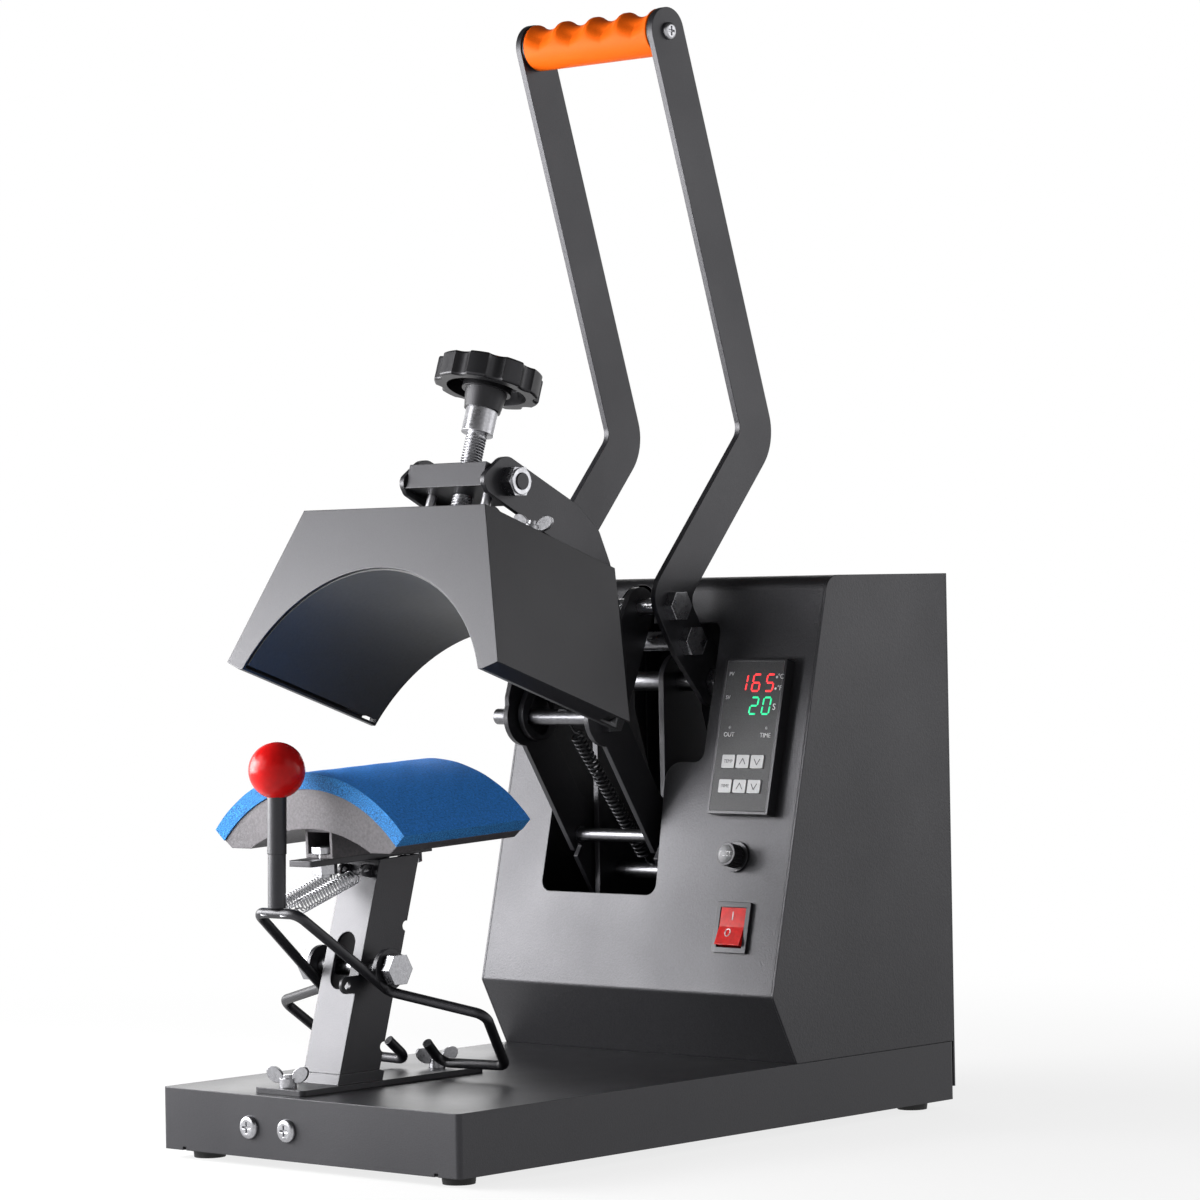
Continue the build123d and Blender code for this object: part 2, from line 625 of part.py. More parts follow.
with BuildPart() as controller_body:
    with BuildSketch(PANEL):
        with Locations((CONTROL_X, CONTROL_V)):
            RectangleRounded(CONTROL_W, CONTROL_H, BODY_EDGE_R)
    extrude(amount=CONTROL_PROUD)
    blocks(PANEL, [(CONTROL_X, CONTROL_V)], CONTROL_BODY_W, CONTROL_BODY_H, -CONTROL_DEEP)
    with BuildSketch(PANEL.offset(CONTROL_PROUD)):
        with Locations((CONTROL_X, CONTROL_V)):
            Rectangle(CONTROL_W - 2 * FACE_RIM, CONTROL_H - 2 * FACE_RIM)
    extrude(amount=-FACE_T, mode=Mode.SUBTRACT)
    blocks(PANEL.offset(CONTROL_PROUD), button_spots, *button_holes, -BUTTON_WELL - BUTTON_TRAVEL, Mode.SUBTRACT)
keep(controller_body, "controller_body")

with BuildPart() as controller_face:
    with BuildSketch(PANEL.offset(CONTROL_PROUD - FACE_T)):
        with Locations((CONTROL_X, CONTROL_V)):
            Rectangle(CONTROL_W - 2 * FACE_RIM - SEAM, CONTROL_H - 2 * FACE_RIM - SEAM)
    extrude(amount=FACE_T)
    blocks(PANEL.offset(CONTROL_PROUD), button_spots, *button_holes, -FACE_T, Mode.SUBTRACT)
keep(controller_face, "controller_face")

BUTTON_NAMES = ("temp_button", "temp_up_button", "temp_down_button", "time_button", "time_up_button", "time_down_button")
for spot, label in zip(button_spots, BUTTON_NAMES):
    with BuildPart() as button:
        blocks(PANEL.offset(CONTROL_PROUD - BUTTON_WELL), [spot], BUTTON_W, BUTTON_H, BUTTON_WELL + BUTTON_PROUD)
        fillet(button.edges().filter_by(Axis(PANEL.origin, PANEL.z_dir)), 0.8)
    keep(button, label)

# ---------------------------------------------------------------- fuse holder and power switch
FUSE_FLANGE_T = 2.0
FUSE_DEEP = 34.0
FUSE_BORE_R = 4.0
FUSE_CAP_H = 9.0
FUSE_STEM_R = 3.8
FUSE_STEM = 9.0
FUSE_FLUTES = 18
FUSE_SLOT_W = 1.6
SWITCH_FACE_T = 2.0
SWITCH_DEEP = 18.0
SWITCH_WALL = 3.3
ROCKER_PLAY = 0.3
ROCKER_AXLE_R = 1.5
ROCKER_AXLE_N = -1.5
ROCKER_AXLE_REACH = 1.5

with BuildPart() as fuse_holder:
    rods(PANEL, [(FUSE_X, FUSE_V)], FUSE_FLANGE_R, FUSE_FLANGE_T)
    rods(PANEL, [(FUSE_X, FUSE_V)], FUSE_BODY_R, -FUSE_DEEP)
    rods(PANEL.offset(FUSE_FLANGE_T), [(FUSE_X, FUSE_V)], FUSE_BORE_R, -FUSE_DEEP + 4, Mode.SUBTRACT)
keep(fuse_holder, "fuse_holder")

with BuildPart() as fuse_cap:
    cap_seat = PANEL.offset(FUSE_FLANGE_T + FACE_GAP)
    rods(cap_seat, [(FUSE_X, FUSE_V)], FUSE_CAP_R, FUSE_CAP_H)
    with BuildSketch(cap_seat):
        with Locations((FUSE_X, FUSE_V)):
            with PolarLocations(FUSE_CAP_R + 0.2, FUSE_FLUTES):
                Circle(0.7)
    extrude(amount=FUSE_CAP_H - 2, mode=Mode.SUBTRACT)
    rods(cap_seat, [(FUSE_X, FUSE_V)], FUSE_STEM_R, -FUSE_STEM)
    blocks(cap_seat.offset(FUSE_CAP_H), [(FUSE_X, FUSE_V)], FUSE_CAP_R * 1.2, FUSE_SLOT_W, -1.2, Mode.SUBTRACT)
keep(fuse_cap, "fuse_cap")

rocker_w = SWITCH_W - 2 * SWITCH_WALL - 2 * ROCKER_PLAY
rocker_half = SWITCH_H / 2 - SWITCH_WALL - 2 * ROCKER_PLAY
axle_plane = Plane(
    origin=PANEL.from_local_coords((SWITCH_X, SWITCH_V, ROCKER_AXLE_N)),
    x_dir=PANEL.y_dir,
    z_dir=PANEL.x_dir,
)

with BuildPart() as switch_bezel:
    with BuildSketch(PANEL):
        with Locations((SWITCH_X, SWITCH_V)):
            RectangleRounded(SWITCH_W, SWITCH_H, BODY_EDGE_R)
    extrude(amount=SWITCH_FACE_T)
    blocks(PANEL, [(SWITCH_X, SWITCH_V)], SWITCH_BODY_W, SWITCH_BODY_H, -SWITCH_DEEP)
    blocks(
        PANEL.offset(SWITCH_FACE_T),
        [(SWITCH_X, SWITCH_V)],
        SWITCH_W - 2 * SWITCH_WALL,
        SWITCH_H - 2 * SWITCH_WALL,
        -SWITCH_DEEP + 4,
        Mode.SUBTRACT,
    )
    axle_hole = rocker_w / 2 + ROCKER_AXLE_REACH + SEAM
    rods(axle_plane.offset(-axle_hole), [(0, 0)], ROCKER_AXLE_R + RUN, 2 * axle_hole, Mode.SUBTRACT)
keep(switch_bezel, "switch_bezel")

with BuildPart() as rocker:
    tipped = axle_plane.x_dir * cos(radians(ROCKER_TURN / 2)) - axle_plane.y_dir * sin(radians(ROCKER_TURN / 2))
    rest = Plane(origin=axle_plane.origin, x_dir=tipped, z_dir=axle_plane.z_dir)
    with BuildSketch(rest.offset(-rocker_w / 2)):
        with BuildLine():
            Polyline(
                (-rocker_half, -4.0),
                (-rocker_half, 4.6),
                (0, 3.2),
                (rocker_half, 4.6),
                (rocker_half, -4.0),
                close=True,
            )
        make_face()
    extrude(amount=rocker_w)
    reach = rocker_w / 2 + ROCKER_AXLE_REACH
    rods(axle_plane.offset(-reach), [(0, 0)], ROCKER_AXLE_R, 2 * reach)
keep(rocker, "rocker")

# ---------------------------------------------------------------- pad pedestal
SADDLE_H = 6.0
SADDLE_T = 2.0
COLUMN_LIP = 6.0
COLUMN_SLOT_W = 15.0
COLUMN_SLOT_H = 34.0
COLUMN_SLOT_AT = 68.0
COLUMN_NOTCH_AT = (96.0, 24.0)
COLUMN_NOTCH_R = 3.0
COLUMN_SPARE = 20.0  # cut away again under the foot plate
COLUMN_STOCK = 180.0
EYELET_T = 2.0
EYELET_R = 3.6
EYELET_HOLE_R = 1.6
EYELET_X = 9.0
EYELET_AT = (-150.5, 166.5)
STOP_LUG_AT = (-172.5, 101.5)
STOP_LUG_R = 5.0
CHANNEL_W = 22.0
CHANNEL_L = 88.0
CHANNEL_WALL = 2.0
PAD_CUT = 48.0
BODY_INSET = 1.0
BODY_FOOT_OUT = 65.4
PAD_BOLTS = (-40.0, 30.0)
PAD_BOLT_R = 4.0
PAD_BOLT_AF = 13.0
PAD_BOLT_HEAD = 4.0
BAIL_LUG_X = 27.5
BAIL_LUG_T = 3.0
BAIL_LUG_R = 12.0
column_half = COLUMN_W / 2

with BuildPart() as footplate:
    with BuildSketch(TRAY_TOP):
        with Locations((MID_X, (FOOTPLATE_FRONT + FOOTPLATE_REAR) / 2)):
            RectangleRounded(FOOTPLATE_W, FOOTPLATE_REAR - FOOTPLATE_FRONT, 3)
    extrude(amount=FOOTPLATE_T)
    with BuildSketch(COLUMN.offset(-SADDLE_H)):
        Rectangle(COLUMN_W + 2 * SADDLE_T, COLUMN_D + 2 * SADDLE_T)
    extrude(amount=2 * SADDLE_H + COLUMN_D * sin(radians(COLUMN_LEAN)) / 2)
    with BuildSketch(COLUMN.offset(-2 * SADDLE_H)):
        Rectangle(COLUMN_W + SEAM, COLUMN_D + SEAM)
    extrude(amount=8 * SADDLE_H, mode=Mode.SUBTRACT)
    with BuildSketch(TRAY_TOP):
        with Locations((MID_X, (FOOTPLATE_FRONT + FOOTPLATE_REAR) / 2)):
            RectangleRounded(FOOTPLATE_W, FOOTPLATE_REAR - FOOTPLATE_FRONT, 3)
    extrude(amount=FOOTPLATE_T + SADDLE_H, mode=Mode.INTERSECT)
    with BuildSketch(TRAY_TOP):
        with Locations((MID_X, (FOOTPLATE_FRONT + FOOTPLATE_REAR) / 2)):
            RectangleRounded(FOOTPLATE_W, FOOTPLATE_REAR - FOOTPLATE_FRONT, 3)
    extrude(amount=FOOTPLATE_T)
    rods(TRAY_TOP, FOOTPLATE_STUDS, FOOTPLATE_STUD_R + RUN, FOOTPLATE_T, Mode.SUBTRACT)
keep(footplate, "footplate")

with BuildPart() as footplate_nuts:
    footplate_top = TRAY_TOP.offset(FOOTPLATE_T)
    for stud_at, turn in zip(FOOTPLATE_STUDS, FOOTPLATE_NUT_TURNS):
        wing_nut(footplate_top, stud_at, turn)
    rods(footplate_top.offset(WING_HUB_H + 2), FOOTPLATE_STUDS, FOOTPLATE_STUD_R, -(WING_HUB_H + 2 + FOOTPLATE_T + SHEET))
    rods(TRAY_TOP.offset(-SHEET), FOOTPLATE_STUDS, 2 * FOOTPLATE_STUD_R, -FRONT_SCREW_HEAD_H)
keep(footplate_nuts, "footplate_nuts")

bar_under = PAD.offset(-BAR_T)
with BuildPart() as column:
    with BuildSketch(COLUMN.offset(-COLUMN_SPARE)):
        Rectangle(COLUMN_W, COLUMN_D)
        Rectangle(COLUMN_W - 2 * COLUMN_T, COLUMN_D - 2 * COLUMN_T, mode=Mode.SUBTRACT)
        with Locations((0, COLUMN_D / 2)):
            Rectangle(COLUMN_W - 2 * COLUMN_LIP, COLUMN_D / 2, mode=Mode.SUBTRACT)
    extrude(amount=COLUMN_STOCK)
    split(bisect_by=bar_under, keep=Keep.BOTTOM)
    split(bisect_by=footplate_top, keep=Keep.TOP)
    with BuildSketch(Plane(origin=COLUMN.origin, x_dir=COLUMN.x_dir, z_dir=-COLUMN.y_dir)):
        with Locations((0, COLUMN_SLOT_AT)):
            SlotOverall(COLUMN_SLOT_H, COLUMN_SLOT_W, rotation=90)
    extrude(amount=COLUMN_D, mode=Mode.SUBTRACT)
    pin(BAIL_PIVOT, PIN_R + RUN, -column_half, column_half, Mode.SUBTRACT)
    with BuildSketch(Plane(origin=COLUMN.origin, x_dir=COLUMN.y_dir, z_dir=COLUMN.x_dir)):
        with Locations((COLUMN_D / 2, COLUMN_NOTCH_AT[0])):
            Circle(COLUMN_NOTCH_R)
        with Locations((COLUMN_D / 2, COLUMN_NOTCH_AT[1])):
            Circle(COLUMN_NOTCH_R)
    extrude(amount=column_half, both=True, mode=Mode.SUBTRACT)
    for side in (-1, 1):
        low, high = sorted((side * (EYELET_X - EYELET_T / 2), side * (EYELET_X + EYELET_T / 2)))
        strap(EYELET_AT, EYELET_R, (EYELET_AT[0] + 6, EYELET_AT[1] - 1), EYELET_R, low, high)
        pin(EYELET_AT, EYELET_HOLE_R, low, high, Mode.SUBTRACT)
    strap(STOP_LUG_AT, STOP_LUG_R, (STOP_LUG_AT[0] + 12, STOP_LUG_AT[1]), STOP_LUG_R, column_half - COLUMN_T, column_half)
    pin(STOP_LUG_AT, STOP_LUG_R / 2, column_half - COLUMN_T, column_half, Mode.SUBTRACT)
keep(column, "column")

with BuildPart() as support_bar:
    with BuildSketch(bar_under):
        with Locations((0, -BAR_L / 10)):
            RectangleRounded(BAR_W, BAR_L, 2)
    extrude(amount=BAR_T)
    rods(bar_under, [(0, y) for y in PAD_BOLTS], PAD_BOLT_R + RUN, BAR_T, Mode.SUBTRACT)
keep(support_bar, "support_bar")

pad_front = Plane(origin=PAD.from_local_coords((0, -PAD_DEPTH / 2, 0)), x_dir=PAD.x_dir, z_dir=-PAD.y_dir)
pad_mid_z = PAD_APEX - PAD_R
body_r = PAD_R - PAD_T
body_arc_z = BODY_ARC_APEX - BODY_ARC_R


def on_arc(radius, centre_z, turn):
    """Point on an arc about the pad's own axis, measured from straight up."""
    return (radius * sin(radians(turn)), centre_z + radius * cos(radians(turn)))


with BuildPart() as pad:
    with BuildSketch(pad_front):
        with BuildLine():
            outer = ThreePointArc(*(on_arc(PAD_R, pad_mid_z, turn) for turn in (-PAD_CUT, 0, PAD_CUT)))
            inner = ThreePointArc(*(on_arc(body_r, pad_mid_z, turn) for turn in (-PAD_CUT, 0, PAD_CUT)))
            Line(outer @ 0, inner @ 0)
            Line(outer @ 1, inner @ 1)
        make_face()
    extrude(amount=-PAD_DEPTH)
keep(pad, "pad")

with BuildPart() as pad_body:
    with BuildSketch(pad_front.offset(-BODY_INSET)):
        with BuildLine():
            crown = ThreePointArc(*(on_arc(body_r, pad_mid_z, turn) for turn in (-PAD_CUT, 0, PAD_CUT)))
            foot_in = sqrt(BODY_ARC_R**2 - (BODY_FOOT - body_arc_z) ** 2)
            hollow = ThreePointArc((-foot_in, BODY_FOOT), (0, BODY_ARC_APEX), (foot_in, BODY_FOOT))
            Polyline(crown @ 0, (-BODY_FOOT_OUT, BODY_FOOT), hollow @ 0)
            Polyline(crown @ 1, (BODY_FOOT_OUT, BODY_FOOT), hollow @ 1)
        make_face()
    extrude(amount=-PAD_DEPTH + 2 * BODY_INSET)
keep(pad_body, "pad_body")

with BuildPart() as pad_channel:
    with BuildSketch(pad_front.offset(-(PAD_DEPTH - CHANNEL_L) / 2)):
        with Locations((0, BODY_ARC_APEX / 2)):
            Rectangle(CHANNEL_W, BODY_ARC_APEX)
        with Locations((0, BODY_ARC_APEX / 2)):
            Rectangle(CHANNEL_W - 2 * CHANNEL_WALL, BODY_ARC_APEX - 2 * CHANNEL_WALL - 1, mode=Mode.SUBTRACT)
        with Locations((0, body_arc_z)):
            Circle(BODY_ARC_R, mode=Mode.INTERSECT)
    extrude(amount=-CHANNEL_L)
    rods(PAD, [(0, y) for y in PAD_BOLTS], PAD_BOLT_R + RUN, 2 * CHANNEL_WALL, Mode.SUBTRACT)
keep(pad_channel, "pad_channel")

with BuildPart() as pad_bolts:
    bolt_seat = CHANNEL_WALL + 0.5
    rods(PAD.offset(bolt_seat), [(0, y) for y in PAD_BOLTS], PAD_BOLT_R, -(bolt_seat + BAR_T + NUT_H))
    hexes(PAD.offset(bolt_seat), [(0, y) for y in PAD_BOLTS], PAD_BOLT_AF, PAD_BOLT_HEAD)
    hexes(bar_under, [(0, y) for y in PAD_BOLTS], PAD_BOLT_AF, -PAD_BOLT_HEAD - 2)
keep(pad_bolts, "pad_bolts")

# ---------------------------------------------------------------- cap holder
BAIL_FRONT = (-213.3, 145.3)
BAIL_FRONT_X = 16.5
BAIL_BEND_R = 7.0
BALL_AT = (-211.3, 227.1)
POST_SLEEVE = 34.0
POST_UPPER_R = 5.6
BAIL_WAIST = (-151.0, 96.8)
BAIL_FLARE = (84.0, -129.6, 84.3)
BAIL_CORNER = (66.0, -95.0, 51.0)
BAIL_INNER = (13.5, -95.0, 49.8)
BAIL_TIP = (16.0, -108.8, 62.6)
BOLT_COLLAR = 1.5
BOLT_SLEEVE = 0.6
lug_in = BAIL_LUG_X - BAIL_LUG_T / 2
lug_out = BAIL_LUG_X + BAIL_LUG_T / 2


def bail_half(side):
    """Corner points of one half of the bent wire, from the front middle round to its tip."""
    return [
        Vector(MID_X, *BAIL_FRONT),
        Vector(MID_X + side * BAIL_FRONT_X, *BAIL_FRONT),
        Vector(MID_X + side * BAIL_LUG_X, *BAIL_WAIST),
        Vector(MID_X + side * BAIL_FLARE[0], *BAIL_FLARE[1:]),
        Vector(MID_X + side * BAIL_CORNER[0], *BAIL_CORNER[1:]),
        Vector(MID_X + side * BAIL_INNER[0], *BAIL_INNER[1:]),
        Vector(MID_X + side * BAIL_TIP[0], *BAIL_TIP[1:]),
    ]


with BuildPart() as bail_wire:
    with BuildLine() as wire_line:
        FilletPolyline(*bail_half(-1)[:0:-1], *bail_half(1)[1:], radius=BAIL_BEND_R)
    with BuildSketch(Plane(origin=wire_line.line @ 0, z_dir=wire_line.line % 0)):
        Circle(BAIL_ROD_R)
    sweep()
    for side in (-1, 1):
        low, high = sorted((side * lug_in, side * lug_out))
        pin(BAIL_PIVOT, BAIL_LUG_R, low, high)
        pin(BAIL_PIVOT, PIN_R + RUN, low, high, Mode.SUBTRACT)
keep(bail_wire, "bail_wire")

post_axis = Vector(0, BALL_AT[0] - BAIL_FRONT[0], BALL_AT[1] - BAIL_FRONT[1])
post_plane = Plane(origin=(MID_X, *BAIL_FRONT), x_dir=(1, 0, 0), z_dir=post_axis.normalized())
with BuildPart() as bail_post:
    rods(post_plane.offset(BAIL_ROD_R), [(0, 0)], POST_R, POST_SLEEVE - BAIL_ROD_R)
    rods(post_plane.offset(POST_SLEEVE), [(0, 0)], POST_UPPER_R, post_axis.length - POST_SLEEVE - BALL_R / 2)
keep(bail_post, "bail_post")

with BuildPart() as ball:
    with Locations((MID_X, *BALL_AT)):
        Sphere(BALL_R)
    rods(post_plane, [(0, 0)], POST_UPPER_R + RUN, post_axis.length - BALL_R / 2, Mode.SUBTRACT)
keep(ball, "ball")

with BuildPart() as bail_bolt:
    cross_bolt(BAIL_PIVOT, PIN_R, lug_out + FACE_GAP + BOLT_COLLAR, -lug_out - FACE_GAP - BOLT_COLLAR)
    pin(BAIL_PIVOT, PIN_R + 2, lug_out + FACE_GAP, lug_out + FACE_GAP + BOLT_COLLAR)
    pin(BAIL_PIVOT, PIN_R + 2, -lug_out - FACE_GAP - BOLT_COLLAR, -lug_out - FACE_GAP)
    for low, high in ((column_half, lug_in - FACE_GAP), (-lug_in + FACE_GAP, -column_half)):
        pin(BAIL_PIVOT, PIN_R + BOLT_SLEEVE, low, high)
keep(bail_bolt, "bail_bolt")

SPRING_END = 9.0
SPRING_BORE_R = SPRING_R - 2 * SPRING_WIRE_R
HOOK_R = 0.8
SPRING_FRONT_X = 8.0


def spring_sleeve(start, finish, end, near, far):
    """Close-wound spring drawn as its sleeve, with a straight wire from each end towards its anchor."""
    axis = finish - start
    seat = Plane(origin=start, z_dir=axis.normalized())
    coil = axis.length - 2 * end
    rods(seat.offset(end), [(0, 0)], SPRING_R, coil)
    rods(seat.offset(end + 2 * HOOK_R), [(0, 0)], SPRING_BORE_R, coil - 4 * HOOK_R, Mode.SUBTRACT)
    rods(seat.offset(near), [(0, 0)], HOOK_R, end - near)
    rods(seat.offset(axis.length - end), [(0, 0)], HOOK_R, end - far)


with BuildPart() as bail_springs:
    for side in (-1, 1):
        spring_sleeve(
            Vector(MID_X + side * SPRING_FRONT_X, *BAIL_FRONT),
            Vector(MID_X + side * EYELET_X, *EYELET_AT),
            SPRING_END,
            BAIL_ROD_R,
            EYELET_R + SEAM,
        )
keep(bail_springs, "bail_springs")

# ---------------------------------------------------------------- head: arms, rods and crossbar
TIE_AT = (81.0, 174.3)
TIE_SHOULDER = 1.2
ARM_ROOT_R = 22.0
EAR_R = 18.0
SILL_GAP = 1.2
SILL_DEPTH = 14.0
ARM_CORNER = 5.0
CROSSBAR_STUD = (56.5, 130.0)
CROSSBAR_STUD_R = 5.0
CROSSBAR_MID = SCREW_Y
PIN_TAIL = 13.0
HOOK_X = 1.0

arm_outline = [
    (-73.5, 395.3),
    (-53.0, 409.5),
    (10.2, 379.0),
    (29.0, 363.5),
    (38.4, 344.0),
    (46.0, 321.5),
    (52.0, 283.0),
    (52.5, 247.0),
    (80.0, 201.7),
    (108.0, 176.0),
    (165.0, 122.0),
    (160.0, 92.0),
    (135.0, 88.0),
    (112.0, 107.0),
    (31.5, 233.0),
    (17.5, 245.0),
    (17.5, 262.0),
    (21.5, 274.0),
    (4.7, 292.0),
    (6.2, 331.7),
    (-3.2, 353.9),
    (-35.0, 370.1),
    (-68.5, 386.6),
]
arm_radii = [6, 12, 12, 10, 12, 20, 12, 8, 12, 20, 8, 8, 8, 12, 12, 5, 5, 6, 12, 12, 12, 12, 6]


def sill_point(up, inward):
    """(y, z) in the resting head's side view of a point that the tower's sill reaches when the head is closed."""
    point = PANEL.from_local_coords((0, up, -inward))
    return turned((point.Y, point.Z), LOW_PIVOT, -HEAD_SWING)


sill_slot = [
    sill_point(OPEN_LOW + SILL_GAP, -SILL_GAP),
    sill_point(OPEN_LOW + SILL_GAP, SHEET + SILL_GAP),
    sill_point(OPEN_LOW - SILL_DEPTH, SHEET + SILL_GAP),
    sill_point(OPEN_LOW - SILL_DEPTH, -SILL_GAP),
]


for side, label in ((-1, "arm_left"), (1, "arm_right")):
    low, high = sorted((side * arm_in, side * arm_out))
    with BuildPart() as arm:
        plate(arm_outline, arm_radii, low, high)
        pin(HEAD_PIN, EAR_R, low, high)
        pin(LOW_PIVOT, ARM_ROOT_R, low, high)
        with BuildSketch(side_plane(MID_X + low)):
            Polygon(*sill_slot, align=None)
        extrude(amount=ARM_T, mode=Mode.SUBTRACT)
        pin(LOW_PIVOT, LOW_PIN_R + RUN, low, high, Mode.SUBTRACT)
        pin(HEAD_PIN, PIN_R + RUN, low, high, Mode.SUBTRACT)
        pin(TIE_AT, ROD_R + RUN, low, high, Mode.SUBTRACT)
        pin(head_point(*CROSSBAR_STUD), CROSSBAR_STUD_R + RUN, low, high, Mode.SUBTRACT)
    keep(arm, label)

with BuildPart() as tie_rod:
    pin(TIE_AT, ROD_R, -arm_out, arm_out)
    pin(TIE_AT, ROD_R + TIE_SHOULDER, -arm_in, -arm_in + TIE_SHOULDER)
    pin(TIE_AT, ROD_R + TIE_SHOULDER, arm_in - TIE_SHOULDER, arm_in)
keep(tie_rod, "tie_rod")

with BuildPart() as head_pin:
    cross_bolt(HEAD_PIN, PIN_R, arm_out, -arm_out, PIN_TAIL)
keep(head_pin, "head_pin")

with BuildPart() as crossbar:
    bar_middle = (0, CROSSBAR_MID)
    with BuildSketch(HEAD.offset(CROSSBAR_LOW)):
        with Locations(bar_middle):
            Rectangle(2 * arm_in, CROSSBAR_DEPTH)
    extrude(amount=CROSSBAR_H)
    rods(HEAD.offset(CROSSBAR_LOW), [(0, SCREW_Y)], SCREW_R + RUN, CROSSBAR_H, Mode.SUBTRACT)
    guide_at = [(-STUD_X, STUD_Y), (STUD_X, STUD_Y)]
    rods(HEAD.offset(CROSSBAR_LOW), guide_at, STUD_R + RUN, CROSSBAR_H, Mode.SUBTRACT)
    stud_reach = arm_out + NUT_H + 2
    pin(head_point(*CROSSBAR_STUD), CROSSBAR_STUD_R, arm_in, stud_reach)
    pin(head_point(*CROSSBAR_STUD), CROSSBAR_STUD_R, -stud_reach, -arm_in)
keep(crossbar, "crossbar")

with BuildPart() as crossbar_nuts:
    for side in (-1, 1):
        nut_plane = side_plane(MID_X + side * arm_out)
        hexes(nut_plane, [head_point(*CROSSBAR_STUD)], HEX_AF, side * NUT_H)
        rods(nut_plane, [head_point(*CROSSBAR_STUD)], HEX_AF / 2 - 0.5, side * (NUT_H + 1.2))
        rods(nut_plane, [head_point(*CROSSBAR_STUD)], CROSSBAR_STUD_R + RUN, side * 2 * NUT_H, Mode.SUBTRACT)
keep(crossbar_nuts, "crossbar_nuts")

# ---------------------------------------------------------------- head return spring
RETURN_END = 14.0
LOOP_T = 1.6
ANCHOR_LOOP_R = 7.5
PIN_LOOP_LONG = 22.0
PIN_LOOP_SHIFT = 3.0
PIN_LOOP_R = 6.6

hook_side = side_plane(MID_X + HOOK_X - LOOP_T / 2)
return_angle = degrees(atan2(HEAD_PIN[1] - ANCHOR_AT[1], HEAD_PIN[0] - ANCHOR_AT[0]))
loop_at = (
    HEAD_PIN[0] + PIN_LOOP_SHIFT * cos(radians(return_angle)),
    HEAD_PIN[1] + PIN_LOOP_SHIFT * sin(radians(return_angle)),
)
with BuildPart() as return_spring:
    spring_sleeve(
        Vector(MID_X + HOOK_X, *ANCHOR_AT),
        Vector(MID_X + HOOK_X, *HEAD_PIN),
        RETURN_END,
        ANCHOR_R,
        PIN_LOOP_LONG / 2 - PIN_LOOP_SHIFT,
    )
    pin(ANCHOR_AT, ANCHOR_LOOP_R, HOOK_X - LOOP_T / 2, HOOK_X + LOOP_T / 2)
    with BuildSketch(hook_side):
        with Locations(loop_at):
            SlotOverall(PIN_LOOP_LONG + 2 * LOOP_T, 2 * (PIN_LOOP_R + LOOP_T), rotation=return_angle)
    extrude(amount=LOOP_T)
    pin(ANCHOR_AT, ANCHOR_R + RUN, HOOK_X - LOOP_T, HOOK_X + LOOP_T, Mode.SUBTRACT)
    with BuildSketch(hook_side):
        with Locations(loop_at):
            SlotOverall(PIN_LOOP_LONG, 2 * PIN_LOOP_R, rotation=return_angle)
    extrude(amount=LOOP_T, mode=Mode.SUBTRACT)
keep(return_spring, "return_spring")

# ---------------------------------------------------------------- heated platen
LIP_DROP = 4.3
LIP_NOTCH = 15.0
COVER_STUD_R = 3.0
COVER_NUT_TURNS = (55.0, 15.0)
SEAT_R = 11.0
SEAT_H = 6.0
SEAT_DEPTH = 4.0
WOOL_T = 10.0
WOOL_GAP = 0.3
WOOL_HALF = 44.0
ELEMENT_END_GAP = 0.3
head_front = Plane(origin=HEAD.origin, x_dir=HEAD.x_dir, z_dir=-HEAD.y_dir)
shell_lip_x = PLATEN_HALF_LOW - PLATEN_LIP * 0.94
shell_profile = [
    (-shell_lip_x, -LIP_DROP),
    (-PLATEN_HALF_LOW, 0),
    (-PLATEN_HALF_TOP, PLATEN_H),
    (PLATEN_HALF_TOP, PLATEN_H),
    (PLATEN_HALF_LOW, 0),
    (shell_lip_x, -LIP_DROP),
]
guide_spots = [(-STUD_X, STUD_Y), (STUD_X, STUD_Y)]
cover_spots = [(-COVER_STUD_X, SCREW_Y), (COVER_STUD_X, SCREW_Y)]


def element_top(x):
    """Height of the element's upper face, in the head's frame, at a distance from its middle."""
    return ELEMENT_MID_Z + sqrt((ELEMENT_R + ELEMENT_T) ** 2 - x**2)


with BuildPart() as platen_shell:
    with BuildSketch(head_front):
        with BuildLine():
            Polyline(*shell_profile, close=True)
        make_face()
    extrude(amount=-PLATEN_DEPTH)
    with BuildSketch(head_front.offset(-SHEET)):
        with BuildLine():
            Polyline(*shell_profile, close=True)
        make_face()
        offset(amount=-SHEET, kind=Kind.INTERSECTION, mode=Mode.REPLACE)
    extrude(amount=-PLATEN_DEPTH + 2 * SHEET, mode=Mode.SUBTRACT)
    rods(head_front, [(0, ELEMENT_MID_Z)], SHELL_ARCH_R, -PLATEN_DEPTH, Mode.SUBTRACT)
    notch_face = head_front.offset(-PLATEN_DEPTH + LIP_NOTCH)
    for side in (-1, 1):
        notch_x = side * (PLATEN_HALF_LOW + shell_lip_x) / 2
        blocks(notch_face, [(notch_x, -LIP_DROP / 2)], 2 * LIP_DROP, 2 * LIP_DROP, -LIP_NOTCH, Mode.SUBTRACT)
    rods(HEAD.offset(PLATEN_H), guide_spots, STUD_R + RUN, -2 * SHEET, Mode.SUBTRACT)
    rods(HEAD.offset(PLATEN_H), cover_spots, COVER_STUD_R + RUN, -2 * SHEET, Mode.SUBTRACT)
keep(platen_shell, "platen_shell")

element_depth = PLATEN_DEPTH - 2 * SHEET - 2 * ELEMENT_END_GAP
element_cut = degrees(asin(ELEMENT_HALF / ELEMENT_R))


